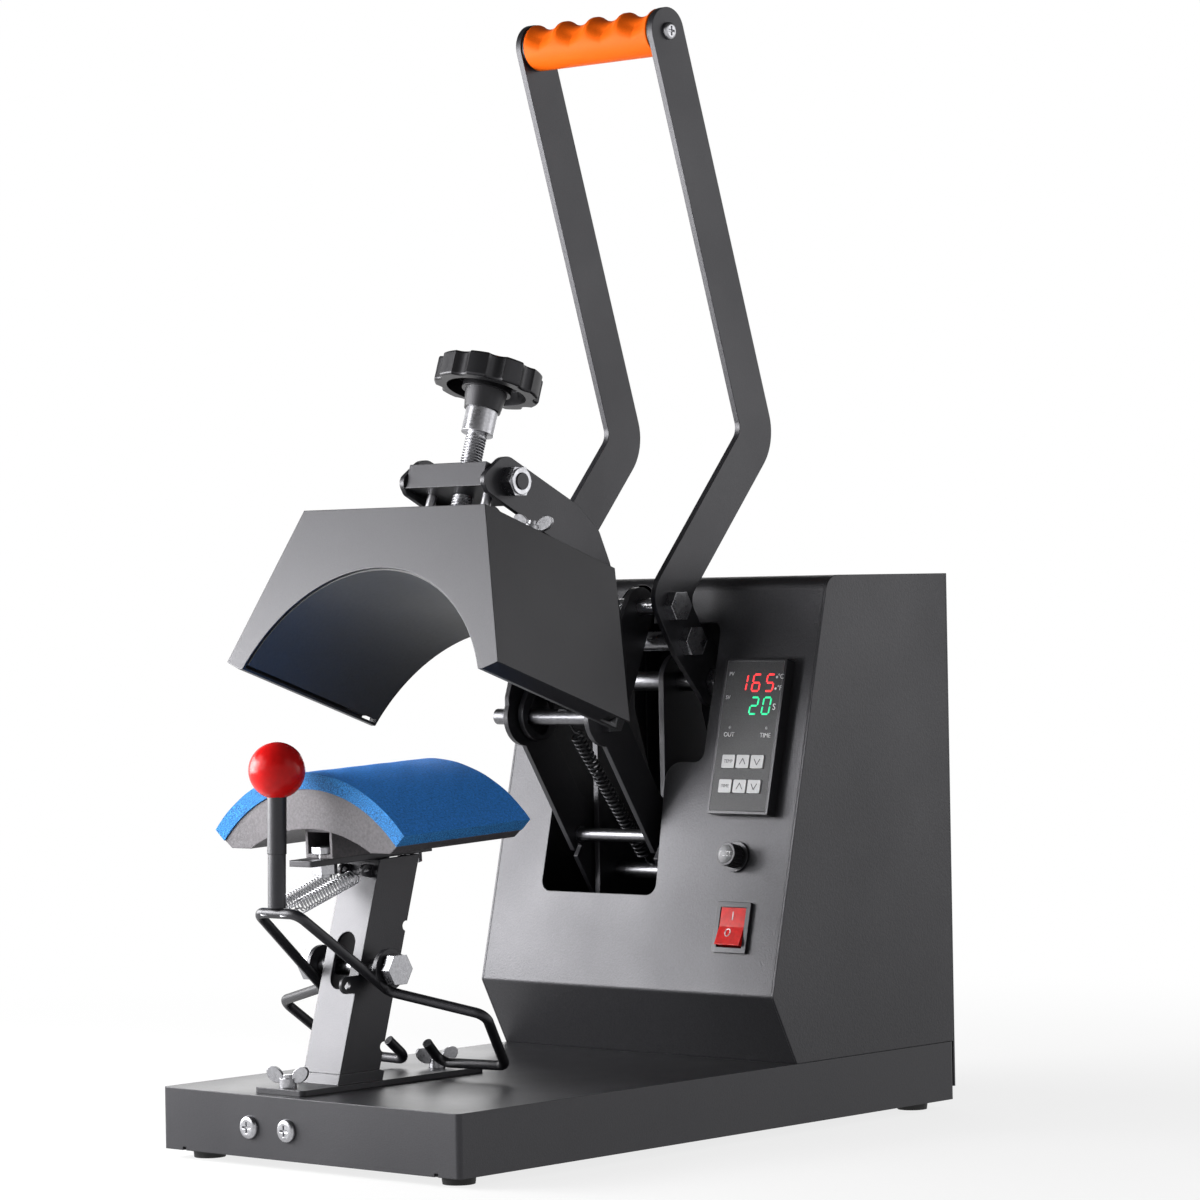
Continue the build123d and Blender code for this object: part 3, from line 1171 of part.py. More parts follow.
def arch(inner, outer, cut, front, depth):
    """Curved slab about the platen's own axis."""
    with BuildSketch(head_front.offset(-front), mode=Mode.PRIVATE) as outline:
        with BuildLine():
            above = ThreePointArc(*(on_arc(outer, ELEMENT_MID_Z, turn) for turn in (-cut, 0, cut)))
            below = ThreePointArc(*(on_arc(inner, ELEMENT_MID_Z, turn) for turn in (-cut, 0, cut)))
            Line(above @ 0, below @ 0)
            Line(above @ 1, below @ 1)
        make_face()
    extrude(outline.sketch, amount=-depth)


with BuildPart() as element:
    arch(ELEMENT_R, ELEMENT_R + ELEMENT_T, element_cut, SHEET + ELEMENT_END_GAP, element_depth)
keep(element, "element")

with BuildPart() as insulation:
    wool_in = ELEMENT_R + ELEMENT_T + WOOL_GAP
    arch(wool_in, wool_in + WOOL_T, WOOL_HALF, 2 * SHEET, element_depth - 2 * SHEET)
    rods(HEAD, guide_spots, STUD_R + 2 * RUN, PLATEN_H, Mode.SUBTRACT)
    rods(HEAD, cover_spots, COVER_STUD_R + 2 * RUN, PLATEN_H, Mode.SUBTRACT)
keep(insulation, "insulation")

with BuildPart() as platen_studs:
    for spots, radius, top in ((guide_spots, STUD_R, STUD_TOP), (cover_spots, COVER_STUD_R, PLATEN_H + WING_HUB_H + 3)):
        foot = element_top(abs(spots[0][0]) - radius)
        rods(HEAD.offset(foot), spots, radius, top - foot)
    rods(HEAD.offset(PLATEN_H), [(0, SCREW_Y)], SEAT_R, SEAT_H)
    rods(HEAD.offset(PLATEN_H + SEAT_H), [(0, SCREW_Y)], SCREW_R + RUN, -SEAT_DEPTH, Mode.SUBTRACT)
keep(platen_studs, "platen_studs")

with BuildPart() as platen_wing_nuts:
    for stud_at, turn in zip(cover_spots, COVER_NUT_TURNS):
        wing_nut(HEAD.offset(PLATEN_H), stud_at, turn)
keep(platen_wing_nuts, "platen_wing_nuts")

# ---------------------------------------------------------------- pressure screw and knob
THREAD_DEPTH = 0.8
SCREW_FOOT = PLATEN_H + SEAT_H - SEAT_DEPTH + 0.1
SCREW_TOP = KNOB_LOW + KNOB_H - 4.0
KNOB_TAPER = 9.0
SCALLOP_R = 7.0
SCALLOP_AT = KNOB_R + 4.2
KNOB_EDGE_R = 1.6
KNOB_POCKET = 9.0
KNOB_POCKET_R = 24.5
KNOB_POCKET_IN = 15.0
KNOB_DISH_R = 8.0
spin_spot = [(0, SCREW_Y)]
screw_face = Plane(origin=HEAD.from_local_coords((0, SCREW_Y, 0)), x_dir=HEAD.x_dir, z_dir=-HEAD.y_dir)
thread_start = PLATEN_H + SEAT_H + 1
thread_turns = int((COLLAR_LOW - thread_start - 1) / THREAD_PITCH)

with BuildPart() as pressure_screw:
    with BuildSketch(screw_face):
        with BuildLine():
            flanks = [(0, SCREW_FOOT), (SCREW_R, SCREW_FOOT)]
            for turn in range(thread_turns):
                crest = thread_start + turn * THREAD_PITCH
                flanks.append((SCREW_R, crest))
                flanks.append((SCREW_R - THREAD_DEPTH, crest + THREAD_PITCH / 2))
            flanks.append((SCREW_R, thread_start + thread_turns * THREAD_PITCH))
            flanks.append((SCREW_R, SCREW_TOP))
            flanks.append((0, SCREW_TOP))
            Polyline(*flanks, close=True)
        make_face()
    revolve(axis=Axis(screw_face.origin, HEAD.z_dir))
    rods(HEAD.offset(COLLAR_LOW), spin_spot, COLLAR_R, COLLAR_H)
keep(pressure_screw, "pressure_screw")

with BuildPart() as knob:
    with BuildSketch(HEAD.offset(KNOB_LOW)):
        with Locations((0, SCREW_Y)):
            Circle(KNOB_R)
            with PolarLocations(SCALLOP_AT, KNOB_LOBES):
                Circle(SCALLOP_R, mode=Mode.SUBTRACT)
    extrude(amount=KNOB_H)
    fillet(knob.edges().group_by(Axis(screw_face.origin, HEAD.z_dir))[-1], KNOB_EDGE_R)
    fillet(knob.edges().group_by(Axis(screw_face.origin, HEAD.z_dir))[0], KNOB_EDGE_R)
    with BuildSketch(HEAD.offset(KNOB_LOW)):
        with Locations((0, SCREW_Y)):
            Circle(KNOB_POCKET_R)
            Circle(KNOB_POCKET_IN, mode=Mode.SUBTRACT)
    extrude(amount=KNOB_POCKET, mode=Mode.SUBTRACT)
    with BuildSketch(HEAD.offset(KNOB_LOW)):
        with Locations((0, SCREW_Y)):
            Circle(KNOB_HUB_R)
    extrude(amount=-(KNOB_LOW - COLLAR_LOW - COLLAR_H), taper=KNOB_TAPER)
    rods(HEAD.offset(KNOB_LOW + KNOB_H), spin_spot, KNOB_DISH_R, -1.0, Mode.SUBTRACT)
    rods(HEAD.offset(COLLAR_LOW), spin_spot, SCREW_R + RUN, SCREW_TOP - COLLAR_LOW + 0.1, Mode.SUBTRACT)
keep(knob, "knob")

# ---------------------------------------------------------------- handle
LEVER_OUT_R = 32.0
LEVER_IN_R = 10.0
KNEE_OUT_R = 20.0
KNEE_IN_R = 10.0
GRIP_GROOVE_R = 13.0
GRIP_GROOVE_DEPTH = 3.6
GRIP_GROOVE_PITCH = 21.5
GRIP_GROOVE_TURN = 35.0
GRIP_BORE_R = 3.0
GRIP_BORE = 22.0
GRIP_HEAD_H = 3.0
grip_half = lever_in - GRIP_WASHER
half = LEVER_W / 2
lever_outline = band([GRIP_AT, LEVER_BEND, LEVER_KNEE, LEVER_BOLT], half)
lever_radii = [0.5, LEVER_OUT_R, KNEE_IN_R, 0.5, 0.5, KNEE_OUT_R, LEVER_IN_R, 0.5]

for side, label in ((-1, "lever_bar_left"), (1, "lever_bar_right")):
    low, high = sorted((side * lever_in, side * lever_out))
    with BuildPart() as lever_bar:
        plate(lever_outline, lever_radii, low, high)
        pin(GRIP_AT, half, low, high)
        strap(LEVER_BOLT, half, LEVER_PIVOT, LEVER_LOBE_R, low, high)
        for point, radius in ((GRIP_AT, GRIP_BORE_R), (LEVER_PIN, PIN_R), (LEVER_BOLT, PIN_R), (LEVER_PIVOT, PIN_R)):
            pin(point, radius + RUN, low, high, Mode.SUBTRACT)
    keep(lever_bar, label)

with BuildPart() as grip:
    pin(GRIP_AT, GRIP_R, -grip_half, grip_half)
    fillet(grip.edges().filter_by(GeomType.CIRCLE), 2.0)
    groove_plane = Plane(
        origin=(MID_X, *GRIP_AT),
        x_dir=(1, 0, 0),
        z_dir=(0, cos(radians(GRIP_GROOVE_TURN)), sin(radians(GRIP_GROOVE_TURN))),
    )
    groove_rise = GRIP_R - GRIP_GROOVE_DEPTH + GRIP_GROOVE_R
    groove_spots = [((i - (GRIP_GROOVES - 1) / 2) * GRIP_GROOVE_PITCH, -groove_rise) for i in range(GRIP_GROOVES)]
    rods(groove_plane.offset(-2 * GRIP_R), groove_spots, GRIP_GROOVE_R, 4 * GRIP_R, Mode.SUBTRACT)
    for side in (-1, 1):
        low, high = sorted((side * (grip_half - GRIP_BORE), side * grip_half))
        pin(GRIP_AT, GRIP_BORE_R + RUN, low, high, Mode.SUBTRACT)
keep(grip, "grip")

with BuildPart() as grip_washers:
    for side in (-1, 1):
        low, high = sorted((side * grip_half, side * lever_in))
        tube(GRIP_AT, GRIP_R - 0.6, GRIP_BORE_R + RUN, low, high)
keep(grip_washers, "grip_washers")

with BuildPart() as grip_screws:
    for side in (-1, 1):
        low, high = sorted((side * (grip_half - GRIP_BORE + 2), side * lever_out))
        pin(GRIP_AT, GRIP_BORE_R, low, high)
        head_plane = side_plane(MID_X + side * lever_out)
        with BuildSketch(head_plane):
            with Locations(GRIP_AT):
                Circle(GRIP_SCREW_R)
        extrude(amount=side * GRIP_HEAD_H)
        rim = grip_screws.edges().filter_by(GeomType.CIRCLE).sort_by(Axis.X)[-1 if side > 0 else 0]
        fillet(rim, GRIP_HEAD_H * 0.7)
        for across, along in ((5.6, 1.2), (1.2, 5.6)):
            blocks(head_plane.offset(side * GRIP_HEAD_H), [GRIP_AT], across, along, -side * 1.4, Mode.SUBTRACT)
keep(grip_screws, "grip_screws")

with BuildPart() as cross_bolts:
    for point in (LEVER_PIN, LEVER_BOLT):
        cross_bolt(point, PIN_R, lever_out, -lever_out)
    pin(LEVER_BOLT, LEVER_TUBE_R, -lever_in, lever_in)
keep(cross_bolts, "cross_bolts")

# ---------------------------------------------------------------- links between head pin and handle
LINK_ROOT_R = 12.0
LINK_LOBE_R = 16.5
LINK_LOBE_ALONG = 4.4
LINK_LOBE_ASIDE = -4.6
LINK_WINDOW = (22.4, 19.8)
LINK_WINDOW_R = 5.2
link_run = (LEVER_PIN[0] - HEAD_PIN[0], LEVER_PIN[1] - HEAD_PIN[1])
link_angle = degrees(atan2(link_run[1], link_run[0]))
lobe_flat = (HEAD_PIN[0] + LINK_LOBE_ALONG, HEAD_PIN[1] + LINK_LOBE_ASIDE)
lobe_at = turned(lobe_flat, HEAD_PIN, link_angle)

with BuildPart() as link_plates:
    for side in (-1, 1):
        low, high = sorted((side * frame_in, side * frame_out))
        strap(LEVER_PIN, LINK_ROOT_R, lobe_at, LINK_LOBE_R, low, high)
        pin(LEVER_PIN, PIN_R + RUN, low, high, Mode.SUBTRACT)
        with BuildSketch(side_plane(MID_X + low)):
            with Locations(lobe_at):
                RectangleRounded(*LINK_WINDOW, LINK_WINDOW_R, rotation=link_angle)
        extrude(amount=high - low, mode=Mode.SUBTRACT)
keep(link_plates, "link_plates")

print("size", base_tray.part.bounding_box())
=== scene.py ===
import math

import bmesh
import bpy
from mathutils import Matrix, Vector
from mathutils.bvhtree import BVHTree


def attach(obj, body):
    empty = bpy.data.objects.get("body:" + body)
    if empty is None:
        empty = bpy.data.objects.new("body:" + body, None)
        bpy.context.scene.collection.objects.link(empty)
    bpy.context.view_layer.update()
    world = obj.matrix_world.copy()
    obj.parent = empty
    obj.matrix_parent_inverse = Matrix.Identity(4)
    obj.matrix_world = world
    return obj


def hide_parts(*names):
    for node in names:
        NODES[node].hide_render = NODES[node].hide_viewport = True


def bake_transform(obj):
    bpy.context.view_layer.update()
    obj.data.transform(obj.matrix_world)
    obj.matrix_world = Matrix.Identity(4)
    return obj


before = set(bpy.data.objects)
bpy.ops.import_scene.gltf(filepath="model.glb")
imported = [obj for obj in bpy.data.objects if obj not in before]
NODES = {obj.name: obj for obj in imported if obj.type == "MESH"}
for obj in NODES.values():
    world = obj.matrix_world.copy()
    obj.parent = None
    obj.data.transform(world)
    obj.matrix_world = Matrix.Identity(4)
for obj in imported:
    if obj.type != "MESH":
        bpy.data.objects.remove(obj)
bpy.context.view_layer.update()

bl_info = {
    "name": "Cap Heat Press",
    "version": (1, 0, 0),
    "blender": (4, 5, 0),
    "location": "View3D > Sidebar > Cap Press",
    "description": "Finishes, foam pad, springs, thread, grip, display and studio of a cap heat press",
    "category": "Object",
}

MM = 0.001

# Places and leans that the solids give, in millimetres and radians: the mechanism's centre line, its pivots
# and main seats. They are measured from the middle of the base, which lies at BASE_MIDDLE in the scene.
# Only PAD_CENTRE_Z is in the pad's own frame, and SCREW_Y and SCREW_THREAD_Z are in the head's.
BASE_MIDDLE = Vector((11.5, -0.405, 0.0))
MID_X = -31.0
PANEL_FOOT = Vector((0.0, 48.0, 83.0))
PANEL_LEAN = math.atan2(107.2 - 48.0, 292.4 - 41.5)
HEAD_FOOT = Vector((MID_X, -144.0, 287.8))
HEAD_PITCH = math.radians(18.8)
PAD_SEAT = Vector((MID_X, -134.5, 176.6))
PAD_PITCH = math.radians(2.3)
PAD_CENTRE_Z = 50.4 - 105.0
GRIP_AT = Vector((MID_X, 76.5, 669.5))
SCREW_Y = 55.0
SCREW_THREAD_Z = (101.0, 161.0)
HEAD_PIN = (34.0, 249.5)
SPRING_ANCHOR = (112.0, 150.4)
HOLDER_SPRING_LOW = (-213.3, 145.3)
HOLDER_SPRING_HIGH = (-150.5, 166.5)
HOLDER_SPRING_SIDE = (8.0, 9.0)

# Details of the pieces made here, in millimetres: where the holder springs start and end, the
# bare end of the screw's thread, and the round at the grip's ends. THREAD_WIRE_SHARE is the radius of the
# thread's wire as a share of the pitch.
THREAD_END = 1.0
THREAD_WIRE_SHARE = 0.30
GRIP_END_ROUND = 1.2


# ---------------------------------------------------------------- placing
def placing(origin, across, outward):
    """Matrix that takes millimetres in a local frame (x across, z outward) to metres in the scene."""
    z = Vector(outward).normalized()
    x = Vector(across).normalized()
    y = z.cross(x)
    turn = Matrix((x, y, z)).transposed().to_4x4()
    return Matrix.Translation((Vector(origin) + BASE_MIDDLE) * MM) @ turn @ Matrix.Scale(MM, 4)


PANEL = placing(PANEL_FOOT, (1, 0, 0), (0, -math.cos(PANEL_LEAN), math.sin(PANEL_LEAN)))
HEAD = placing(HEAD_FOOT, (1, 0, 0), (0, math.sin(HEAD_PITCH), math.cos(HEAD_PITCH)))
PAD = placing(PAD_SEAT, (1, 0, 0), (0, -math.sin(PAD_PITCH), math.cos(PAD_PITCH)))


def along(start, finish):
    """Matrix with its z axis from start to finish, in millimetres."""
    axis = Vector(finish) - Vector(start)
    side = Vector((1, 0, 0)) if abs(axis.normalized().x) < 0.9 else Vector((0, 1, 0))
    return placing(start, side - axis.normalized() * side.dot(axis.normalized()), axis)


def new_piece(name, mesh, material, body, stands_for=()):
    """Link a finished mesh as a piece; it rides on a body if one is given."""
    obj = bpy.data.objects.new(name, mesh)
    bpy.context.scene.collection.objects.link(obj)
    mesh.materials.clear()
    mesh.materials.append(material)
    if body:
        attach(obj, body)
    if stands_for:
        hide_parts(*stands_for)
    return obj


def mesh_from(bm, name, matrix=None, smooth=True):
    """Finish a bmesh: place it, merge doubles, point faces outwards."""
    if matrix is not None:
        bm.transform(matrix)
    bmesh.ops.remove_doubles(bm, verts=bm.verts, dist=1e-7)
    bmesh.ops.recalc_face_normals(bm, faces=bm.faces)
    for face in bm.faces:
        face.smooth = smooth
    mesh = bpy.data.meshes.new(name)
    bm.to_mesh(mesh)
    bm.free()
    return mesh


# ---------------------------------------------------------------- finishes
def node(tree, kind, **values):
    """Add a node; values name its settings or its input sockets."""
    made = tree.nodes.new(kind)
    for key, value in values.items():
        if key in made.inputs:
            made.inputs[key].default_value = value
        else:
            setattr(made, key, value)
    return made


def grain(tree, scale, detail=3.0, rough=0.55, stretch=(1, 1, 1)):
    """Noise on the piece's own coordinates; scale is in cells per metre."""
    place = node(tree, "ShaderNodeTexCoord")
    turn = node(tree, "ShaderNodeMapping")
    turn.inputs["Scale"].default_value = stretch
    tree.links.new(place.outputs["Object"], turn.inputs["Vector"])
    noise = node(tree, "ShaderNodeTexNoise", Scale=scale, Detail=detail, Roughness=rough)
    tree.links.new(turn.outputs["Vector"], noise.inputs["Vector"])
    return noise.outputs["Fac"]


def ramp(tree, factor, stops):
    """Colour ramp from (position, colour) pairs."""
    made = node(tree, "ShaderNodeValToRGB")
    made.color_ramp.elements[0].position = stops[0][0]
    made.color_ramp.elements[0].color = (*stops[0][1], 1)
    made.color_ramp.elements[1].position = stops[-1][0]
    made.color_ramp.elements[1].color = (*stops[-1][1], 1)
    for position, colour in stops[1:-1]:
        made.color_ramp.elements.new(position).color = (*colour, 1)
    tree.links.new(factor, made.inputs["Fac"])
    return made.outputs["Color"]


def spread(tree, factor, low, high):
    """Map a noise to a range of numbers."""
    made = node(tree, "ShaderNodeMapRange")
    made.inputs["From Min"].default_value = 0.3
    made.inputs["From Max"].default_value = 0.7
    made.inputs["To Min"].default_value = low
    made.inputs["To Max"].default_value = high
    tree.links.new(factor, made.inputs["Value"])
    return made.outputs["Result"]


def finish(name, colour, shade=0.25, rough=(0.4, 0.5), metal=0.0, cells=1500.0, bump=0.1, edge=0.0, **extra):
    """A surface finish: speckled colour, uneven roughness, fine bump and softened edges."""
    material = bpy.data.materials.new(name)
    material.use_nodes = True
    tree = material.node_tree
    shader = tree.nodes["Principled BSDF"]
    stretch = extra.pop("stretch", (1, 1, 1))
    broad = extra.pop("broad", 9.0)
    shader.inputs["Metallic"].default_value = metal
    for key, value in extra.items():
        shader.inputs[key.replace("_", " ")].default_value = value
    fine = grain(tree, cells, stretch=stretch)
    dark = tuple(c * (1 - shade) for c in colour)
    light = tuple(min(1.0, c * (1 + shade)) for c in colour)
    tree.links.new(ramp(tree, fine, [(0.3, dark), (0.5, colour), (0.72, light)]), shader.inputs["Base Color"])
    tree.links.new(spread(tree, grain(tree, broad, detail=4.0), *rough), shader.inputs["Roughness"])
    relief = node(tree, "ShaderNodeBump", Strength=bump, Distance=0.0004)
    tree.links.new(fine, relief.inputs["Height"])
    if edge:
        soft = node(tree, "ShaderNodeBevel", samples=6, Radius=edge)
        tree.links.new(soft.outputs["Normal"], relief.inputs["Normal"])
    tree.links.new(relief.outputs["Normal"], shader.inputs["Normal"])
    return material


def lamp_finish(name, colour, strength):
    """A lit segment or lamp with a slightly uneven glow."""
    material = bpy.data.materials.new(name)
    material.use_nodes = True
    tree = material.node_tree
    shader = tree.nodes["Principled BSDF"]
    dim = tuple(c * 0.75 for c in colour)
    glow = ramp(tree, grain(tree, 900.0), [(0.3, dim), (0.7, colour)])
    tree.links.new(glow, shader.inputs["Base Color"])
    tree.links.new(glow, shader.inputs["Emission Color"])
    shader.inputs["Emission Strength"].default_value = strength
    shader.inputs["Roughness"].default_value = 0.4
    return material


class PressColours(bpy.types.PropertyGroup):
    """Colours of the press."""

    coat: bpy.props.FloatVectorProperty(
        name="Frame coat", description="Powder coat of the frame and arms", subtype="COLOR", size=3,
        default=(0.0100, 0.0100, 0.0118), min=0, max=1,
    )
    tower: bpy.props.FloatVectorProperty(
        name="Tower coat", description="Powder coat of the tower's sheets", subtype="COLOR", size=3,
        default=(0.0098, 0.0098, 0.0112), min=0, max=1,
    )
    foam: bpy.props.FloatVectorProperty(
        name="Foam", description="Silicone foam of the pad", subtype="COLOR", size=3,
        default=(0.028, 0.210, 0.65), min=0, max=1,
    )
    cut_foam: bpy.props.FloatVectorProperty(
        name="Cut foam", description="Cut faces of the pad", subtype="COLOR", size=3,
        default=(0.024, 0.165, 0.43), min=0, max=1,
    )
    grip: bpy.props.FloatVectorProperty(
        name="Grip", description="Moulded handle grip", subtype="COLOR", size=3,
        default=(0.76, 0.110, 0.002), min=0, max=1,
    )
    red: bpy.props.FloatVectorProperty(
        name="Red plastic", description="Ball on the cap holder", subtype="COLOR", size=3,
        default=(0.50, 0.006, 0.006), min=0, max=1,
    )
    steel: bpy.props.FloatVectorProperty(
        name="Bright steel", description="Bolts, nuts and rods", subtype="COLOR", size=3,
        default=(0.38, 0.38, 0.40), min=0, max=1,
    )


class PressSizes(bpy.types.PropertyGroup):
    """Sizes of the pieces made here, in millimetres."""

    pad_radius: bpy.props.FloatProperty(
        name="Pad radius", description="Radius of the pad's face", default=105.0, min=50
    )
    pad_thick: bpy.props.FloatProperty(name="Pad thickness", description="Foam thickness", default=9.5, min=2)
    pad_depth: bpy.props.FloatProperty(name="Pad depth", description="Front to back", default=105.0, min=20)
    pad_turn: bpy.props.FloatProperty(
        name="Pad half angle", description="Half the arc of the pad", subtype="ANGLE",
        default=math.radians(48),
    )
    grip_radius: bpy.props.FloatProperty(
        name="Grip radius", description="Radius at the humps", default=14.5, min=5
    )
    grip_half: bpy.props.FloatProperty(
        name="Grip half length", description="Middle to end", default=51.4, min=10
    )
    scoop_depth: bpy.props.FloatProperty(
        name="Scoop depth", description="Depth of a finger scoop", default=3.8, min=0
    )
    ridge_half: bpy.props.FloatProperty(
        name="Ridge", description="Half the width of a ridge", default=1.3, min=0.1
    )
    scoops: bpy.props.IntProperty(name="Scoops", description="Finger scoops along the grip", default=4, min=1)
    wire: bpy.props.FloatProperty(
        name="Spring wire", description="Radius of the spring wire", default=0.45, min=0.1
    )
    coil: bpy.props.FloatProperty(
        name="Coil radius", description="Middle radius of a coil", default=4.2, min=1
    )
    thread_pitch: bpy.props.FloatProperty(
        name="Thread pitch", description="Pitch of the screw", default=1.75, min=0.5
    )
    thread_radius: bpy.props.FloatProperty(
        name="Thread radius", description="Crest radius", default=5.95, min=2
    )


COATED = (
    "base_tray", "footplate", "column", "support_bar", "bail_wire", "bail_post", "arm_left", "arm_right",
    "crossbar", "lever_bar_left", "lever_bar_right", "link_plates", "frame_plate_left", "frame_plate_right",
)
TOWER = ("tower_cover", "side_panel_left", "side_panel_right", "rear_panel")
STEEL = (
    "front_screws", "panel_screws", "frame_bolts", "pivot_bolts", "footplate_nuts", "pad_bolts", "bail_bolt",
    "crossbar_nuts", "platen_studs", "platen_wing_nuts", "grip_screws", "cross_bolts", "pressure_screw",
)
# Rods that lie in shadow between the arm plates; they get a darker steel, which is painted shade.
SHADED_RODS = ("frame_rods", "tie_rod", "head_pin")
PLASTIC = ("controller_body", "fuse_holder", "fuse_cap", "switch_bezel", "knob", "grip_washers")
BUTTONS = (
    "temp_button", "temp_up_button", "temp_down_button", "time_button", "time_up_button", "time_down_button",
)


def dress(names, material):
    """Give CAD nodes their finish."""
    for name in names:
        mesh = NODES[name].data
        mesh.materials.clear()
        mesh.materials.append(material)


class PRESS_OT_finishes(bpy.types.Operator):
    """Make every finish and put it on the solids that keep their shape"""

    bl_idname = "press.finishes"
    bl_label = "Finishes"

    def execute(self, context):
        colours = context.scene.press_colours
        cool = (0.95, 0.94, 1.0, 1.0)
        coat = finish(
            "satin powder coat", tuple(colours.coat), 0.25, (0.36, 0.46), 0.0, 1100, 0.16, 0.0007,
            Specular_Tint=cool,
        )
        dress(COATED, coat)
        tower = finish(
            "fine matt powder coat", tuple(colours.tower), 0.40, (0.42, 0.52), 0.0, 760, 0.34, 0.0008,
            Specular_Tint=cool,
        )
        dress(TOWER, tower)
        shell = finish(
            "platen coat", tuple(colours.tower), 0.25, (0.40, 0.48), 0.0, 1100, 0.16, 0.0007,
            Specular_Tint=cool,
        )
        dress(("platen_shell",), shell)
        steel = finish(
            "zinc plated steel", tuple(colours.steel), 0.16, (0.22, 0.36), 1.0, 620, 0.10, 0.0006, broad=140.0
        )
        dress(STEEL, steel)
        # Painted shade: a darker copy of the steel for rods in shadow; the grain stretched along them is
        # their real drawn finish.
        rod_steel_in_shade = finish(
            "drawn dark steel", (0.15, 0.15, 0.16), 0.2, (0.32, 0.42), 1.0, 900, 0.12,
            stretch=(0.4, 1, 1),
        )
        dress(SHADED_RODS, rod_steel_in_shade)
        plastic = finish(
            "black moulded plastic", (0.010, 0.010, 0.011), 0.2, (0.30, 0.42), 0.0, 1900, 0.12, 0.0005,
            Specular_IOR_Level=0.38, Specular_Tint=cool,
        )
        dress(PLASTIC, plastic)
        rubber = finish("black rubber", (0.014, 0.014, 0.014), 0.2, (0.62, 0.78), 0.0, 900, 0.2)
        dress(("rubber_feet", "cord_bush"), rubber)
        element = finish(
            "non-stick coated plate", (0.030, 0.030, 0.032), 0.15, (0.46, 0.56), 0.0, 900, 0.05,
            stretch=(0.15, 1, 1),
        )
        dress(("element",), element)
        cast = finish("cast aluminium", (0.088, 0.083, 0.089), 0.22, (0.50, 0.64), 0.55, 650, 0.3, 0.0008)
        dress(("pad_body", "pad_channel"), cast)
        wool = finish(
            "insulating wool", (0.52, 0.46, 0.36), 0.5, (0.85, 0.95), 0.0, 420, 0.8,
            stretch=(0.3, 1, 1),
        )
        dress(("insulation",), wool)
        film = finish(
            "printed face film", (0.040, 0.040, 0.043), 0.5, (0.50, 0.60), 0.0, 2400, 0.10,
            Specular_IOR_Level=0.35,
        )
        dress(("controller_face",), film)
        keys = finish("light grey keys", (0.36, 0.36, 0.37), 0.06, (0.38, 0.48), 0.0, 1200, 0.06, 0.0003)
        dress(BUTTONS, keys)
        gloss = finish(
            "glossy red plastic", tuple(colours.red), 0.08, (0.20, 0.26), 0.0, 260, 0.02,
            Specular_IOR_Level=0.16,
        )
        dress(("ball",), gloss)
        lens = finish(
            "red lens", (0.56, 0.006, 0.005), 0.2, (0.16, 0.24), 0.0, 300, 0.02, 0.0006,
            Coat_Weight=0.3,
        )
        dress(("rocker",), lens)
        return {"FINISHED"}


